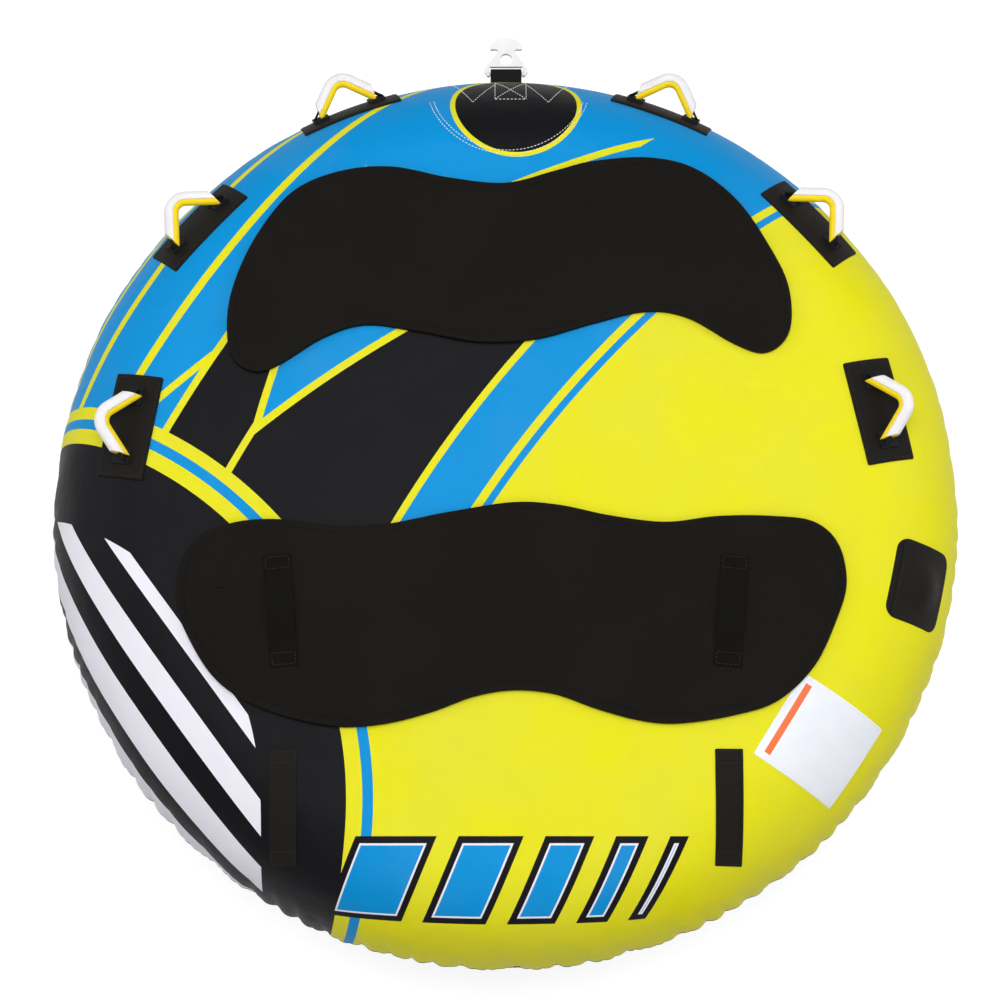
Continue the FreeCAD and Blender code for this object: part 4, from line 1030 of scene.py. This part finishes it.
# path in the YZ plane: from the patch out to the bar, half round it and back to the patch
def makeTowLoop():
    radius = tow["bar"] + tow["thick"] / 2
    back = hookPivot[1] - tubeRadius - tow["rootGap"]
    away = np.linspace(-back - tow["sunk"], 0, 14)
    spread = tow["spread"] * np.clip(-away / back, 0, 1) ** 2
    turn = np.radians(np.linspace(90, -90, 21))[1:-1]
    line = np.concatenate([np.column_stack([away, radius + spread]),
                           np.column_stack([radius * np.cos(turn), radius * np.sin(turn)]),
                           np.column_stack([away, -radius - spread])[::-1]])
    _, out, run = lineFrame(line)
    corner = tow["thick"] / 2
    turns = np.radians(np.linspace(-90, 90, 9))
    right = np.column_stack([tow["width"] / 2 - corner + corner * np.cos(turns), corner * np.sin(turns)])
    section = np.concatenate([right, right[::-1] * [-1, 1]])
    flat = line[:, None] + out[:, None] * section[:, 1:]
    across = np.broadcast_to(section[:, 0], flat.shape[:2])
    far = np.broadcast_to(run[:, None], flat.shape[:2])
    rings = np.stack([across, hookPivot[1] + flat[..., 0], hookPivot[2] + flat[..., 1]], axis=-1)
    cloth = np.stack([across, far, np.zeros_like(far)], axis=-1).reshape(-1, 3)
    piece = loftPiece("tow_loop_webbing", rings, webbing, cloth=cloth)
    declare(piece, (tow["width"], run[-1]), "tow_strap",
            "webbing")


makeTowLoop()
towOnto = ontoRim(rimPlace((0.0, tubeRadius, rimRadius)))
patchPiece("tow_patch_cloth", "tow_patch", tow["patch"], towOnto, tow["patchLow"],
           tow["patchHigh"], patchCloth)
stitchRectangle("tow_patch_stitching", tow["patch"][0], tow["patch"][1], tow["inset"], towOnto,
                tow["patchHigh"] + tow["threadLift"], darkThread, cross=True)


# a seam of bold white stitches on the deck
def deckSeam(name, flat):
    line = ontoDeck()(flat, tow["deckLift"])
    stitchPiece(name, line, whiteThread, closed=False, radius=tow["thread"])


for number, radius in enumerate(tow["arcs"]):
    turn = np.radians(np.linspace(*tow["arcSpan"], 90))
    flat = np.array(tow["arcMiddle"]) + radius * np.column_stack([np.cos(turn), np.sin(turn)])
    deckSeam("tow_reinforcement_stitching_%d" % (number + 1), flat)

# the box and cross that hold the webbing's inner ends, and two lines out to the arcs
towSeams = [
    ((-0.022, 0.862), (-0.022, 0.800)), ((-0.022, 0.800), (0.040, 0.800)), ((0.040, 0.800), (0.040, 0.862)),
    ((-0.022, 0.862), (0.040, 0.800)), ((-0.022, 0.800), (0.040, 0.862)),
    ((-0.110, 0.862), (-0.066, 0.792)), ((-0.066, 0.792), (-0.022, 0.852)),
    ((0.128, 0.862), (0.084, 0.792)), ((0.084, 0.792), (0.040, 0.852)),
]
for number, (start, end) in enumerate(towSeams):
    flat = np.array(start) + (np.array(end) - start) * np.linspace(0, 1, 40)[:, None]
    deckSeam("tow_seam_%d" % (number + 1), flat)
print("tow point made")


# zipper and drain on the lower rear rim, placed by the angles that the CAD strips cover
def nodeSpan(name):
    mesh = frame["nodes"][name].data
    spots = np.empty(len(mesh.vertices) * 3)
    mesh.vertices.foreach_get("co", spots)
    spots = spots.reshape(-1, 3)
    rho = np.hypot(spots[:, 0], spots[:, 1])
    angle = np.arctan2(spots[:, 1], spots[:, 0])
    tilt = np.arctan2(rho - deckRadius, spots[:, 2] - rimRadius)
    return angle.min(), angle.max(), tilt.min(), tilt.max()


# flat points on the lower rim: x runs round the tube, y down the rim
def ontoStrip(name):
    angleLow, angleHigh, tiltLow, tiltHigh = nodeSpan(name)
    tilt = (tiltLow + tiltHigh) / 2
    ring = deckRadius + rimRadius * math.sin(tilt)
    width, depth = (angleHigh - angleLow) * ring, (tiltHigh - tiltLow) * rimRadius

    def onto(flat, lift):
        angle = (angleLow + angleHigh) / 2 + flat[:, 0] / ring
        arc = crownArc + rimRadius * (tilt - crownTilt) + flat[:, 1]
        return onSkin(arc, angle, lift)
    return onto, width, depth


strips = {"low": -0.0006, "high": 0.0015, "corner": 0.001, "step": 0.008, "inset": 0.003,
          "threadLift": 0.0002, "threadSpan": 0.495}
for word, material, slot in (("zipper_tape", patchCloth, "webbing"), ("drain_mesh", drainNet, "mesh")):
    onto, width, depth = ontoStrip(word)
    patchPiece(word + "_cloth", word, (width, depth, strips["corner"]), onto, strips["low"],
               strips["high"], material, slot, "cover_black_bottom", strips["step"], inner=6)
    for number, side in enumerate((-1, 1)):
        share = np.linspace(-strips["threadSpan"], strips["threadSpan"], 160)
        flat = np.column_stack([share * width, np.full(160, side * (depth / 2 - strips["inset"]))])
        line = onto(flat, np.full(160, strips["high"] + strips["threadLift"]))
        stitchPiece("%s_stitching_%d" % (word, number + 1), line, darkThread, closed=False)

chain = {"pitch": 0.0050, "tooth": 0.0032, "reach": 0.0040, "high": 0.0040, "low": 0.0012, "bevel": 0.0006,
         "top": 0.7, "past": 0.0007, "taper": 0.12}


# teeth of the chain: small blocks with a narrower top, in two rows that mesh on the middle line;
# tooth n stands at (n + 1/2) pitch / 2, on the left for an even n and on the right for an odd one
def makeTeeth():
    onto, width, _ = ontoStrip("zipper_chain")
    count = 2 * int(width / chain["pitch"])
    index = np.arange(count)
    side = np.where(index % 2, 1, -1)[:, None, None]
    x = (-width / 2 + (index + 0.5) * chain["pitch"] / 2)[:, None, None]
    share = np.array([1.0, 1.0, chain["top"]])[:, None]
    across = x + chain["tooth"] / 2 * share * np.array([-1, 1, 1, -1])
    far = chain["reach"] * (1 - chain["taper"] + chain["taper"] * share)
    along = side * np.where(np.array([True, True, False, False]), -chain["past"], far)
    lift = np.array([chain["low"], chain["high"] - chain["bevel"], chain["high"]])[:, None]
    flat = np.stack([across, along], axis=-1).reshape(-1, 2)
    points = onto(flat, np.broadcast_to(lift, across.shape).ravel())
    piece = makePiece("zipper_teeth", points, repeatFaces(count, 3, 4), zipPlastic, weld=False, smooth=False)
    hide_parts("zipper_chain")


makeTeeth()
print("zipper made")

# materials of the CAD pieces that stay
keptMaterials = {
    "bladder": bladderVinyl, "bladder_webs": bladderVinyl, "valve_base": clearVinyl,
    "valve_membrane": clearVinyl, "valve_cap": valvePlastic, "tow_reinforcement": blackNylon,
    "tow_hook": hookPlastic, "zipper_slider": zipPlastic, "zipper_pull": zipPlastic,
}
for name, node in frame["nodes"].items():
    if name.startswith(("handle_roots", "handle_strap")):
        chosen = webbing if "strap" in name else blackNylon
    elif name in keptMaterials:
        chosen = keptMaterials[name]
    else:
        continue
    node.data.materials.clear()
    node.data.materials.append(chosen)

# studio: pale floor, one broad soft light overhead and even fill; the floor and the sky look brighter
# to the camera than they light the tube
studio = {"reach": 12.0, "drop": 0.001, "floor": 0.32, "glow": 0.80, "sky": 0.34, "skySeen": 1.0}
corners = [(x * studio["reach"], y * studio["reach"], -studio["drop"])
           for x, y in ((-1, -1), (1, -1), (1, 1), (-1, 1))]
floorMesh = bpy.data.meshes.new("studio_floor")
floorMesh.from_pydata(corners, [], [(0, 1, 2, 3)])
floor = bpy.data.objects.new("studio_floor", floorMesh)
bpy.context.scene.collection.objects.link(floor)
floorMaterial, tree, shader = newMaterial("studio_white", 0.9)
shader.inputs["Base Color"].default_value = (studio["floor"],) * 3 + (1.0,)
path = addNode(tree, "ShaderNodeLightPath").outputs
seen = calc(tree, "MAXIMUM", path["Is Camera Ray"], path["Is Transmission Ray"])
seen = calc(tree, "MAXIMUM", seen, path["Is Glossy Ray"])
feed(shader, "Emission Strength", calc(tree, "MULTIPLY", seen, studio["glow"]))
shader.inputs["Emission Color"].default_value = (1.0, 1.0, 1.0, 1.0)
floorMesh.materials.append(floorMaterial)
floor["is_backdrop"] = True

world = bpy.data.worlds.new("studio")
world.use_nodes = True
tree = world.node_tree
background = tree.nodes["Background"]
background.inputs["Color"].default_value = (1.0, 1.0, 1.0, 1.0)
path = addNode(tree, "ShaderNodeLightPath").outputs
seen = calc(tree, "MAXIMUM", path["Is Camera Ray"], path["Is Transmission Ray"])
strength = calc(tree, "MULTIPLY_ADD", seen, studio["skySeen"] - studio["sky"], studio["sky"])
tree.links.new(strength, background.inputs["Strength"])
bpy.context.scene.world = world

# where each light is, what it points at, its width in metres and its power in watts
studioLights = {
    "overhead": ((0.0, 0.8, 5.6), (0.0, 0.0, 0.2), 3.6, 165.0),
    "left": ((-4.2, 1.0, 2.6), (-0.5, 0.0, 0.2), 2.4, 55.0),
    "right": ((4.2, 0.6, 2.6), (0.5, 0.0, 0.2), 2.4, 60.0),
    "rear": ((0.0, -3.6, 3.8), (0.0, -0.5, 0.2), 2.4, 42.0),
}
for name, (spot, aim, span, power) in studioLights.items():
    lamp = bpy.data.lights.new(name, "AREA")
    lamp.shape = "DISK"
    lamp.size = span
    lamp.energy = power
    light = bpy.data.objects.new(name, lamp)
    light.location = spot
    light.rotation_euler = (Vector(aim) - Vector(spot)).to_track_quat("-Z", "Y").to_euler()
    bpy.context.scene.collection.objects.link(light)

view = {"elevation": 77.35, "distance": 4.7615, "lens": 86.23, "sensor": 36.0,
        "shift": (-0.005, 0.010)}
tilt = math.radians(view["elevation"])
camera = bpy.data.objects.new("camera", bpy.data.cameras.new("camera"))
far = view["distance"]
camera.location = (0.0, -far * math.cos(tilt), rimRadius + far * math.sin(tilt))
camera.rotation_euler = (math.pi / 2 - tilt, 0.0, 0.0)
camera.data.lens = view["lens"]
camera.data.sensor_width = view["sensor"]
camera.data.shift_x, camera.data.shift_y = view["shift"]
bpy.context.scene.collection.objects.link(camera)
bpy.context.scene.camera = camera
bpy.context.scene.view_settings.view_transform = "Standard"

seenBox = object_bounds()
boxes = {"cad": cadBox, "visual": seenBox}
{name: [list(corner) for corner in box] for name, box in boxes.items()}
print("scene made")
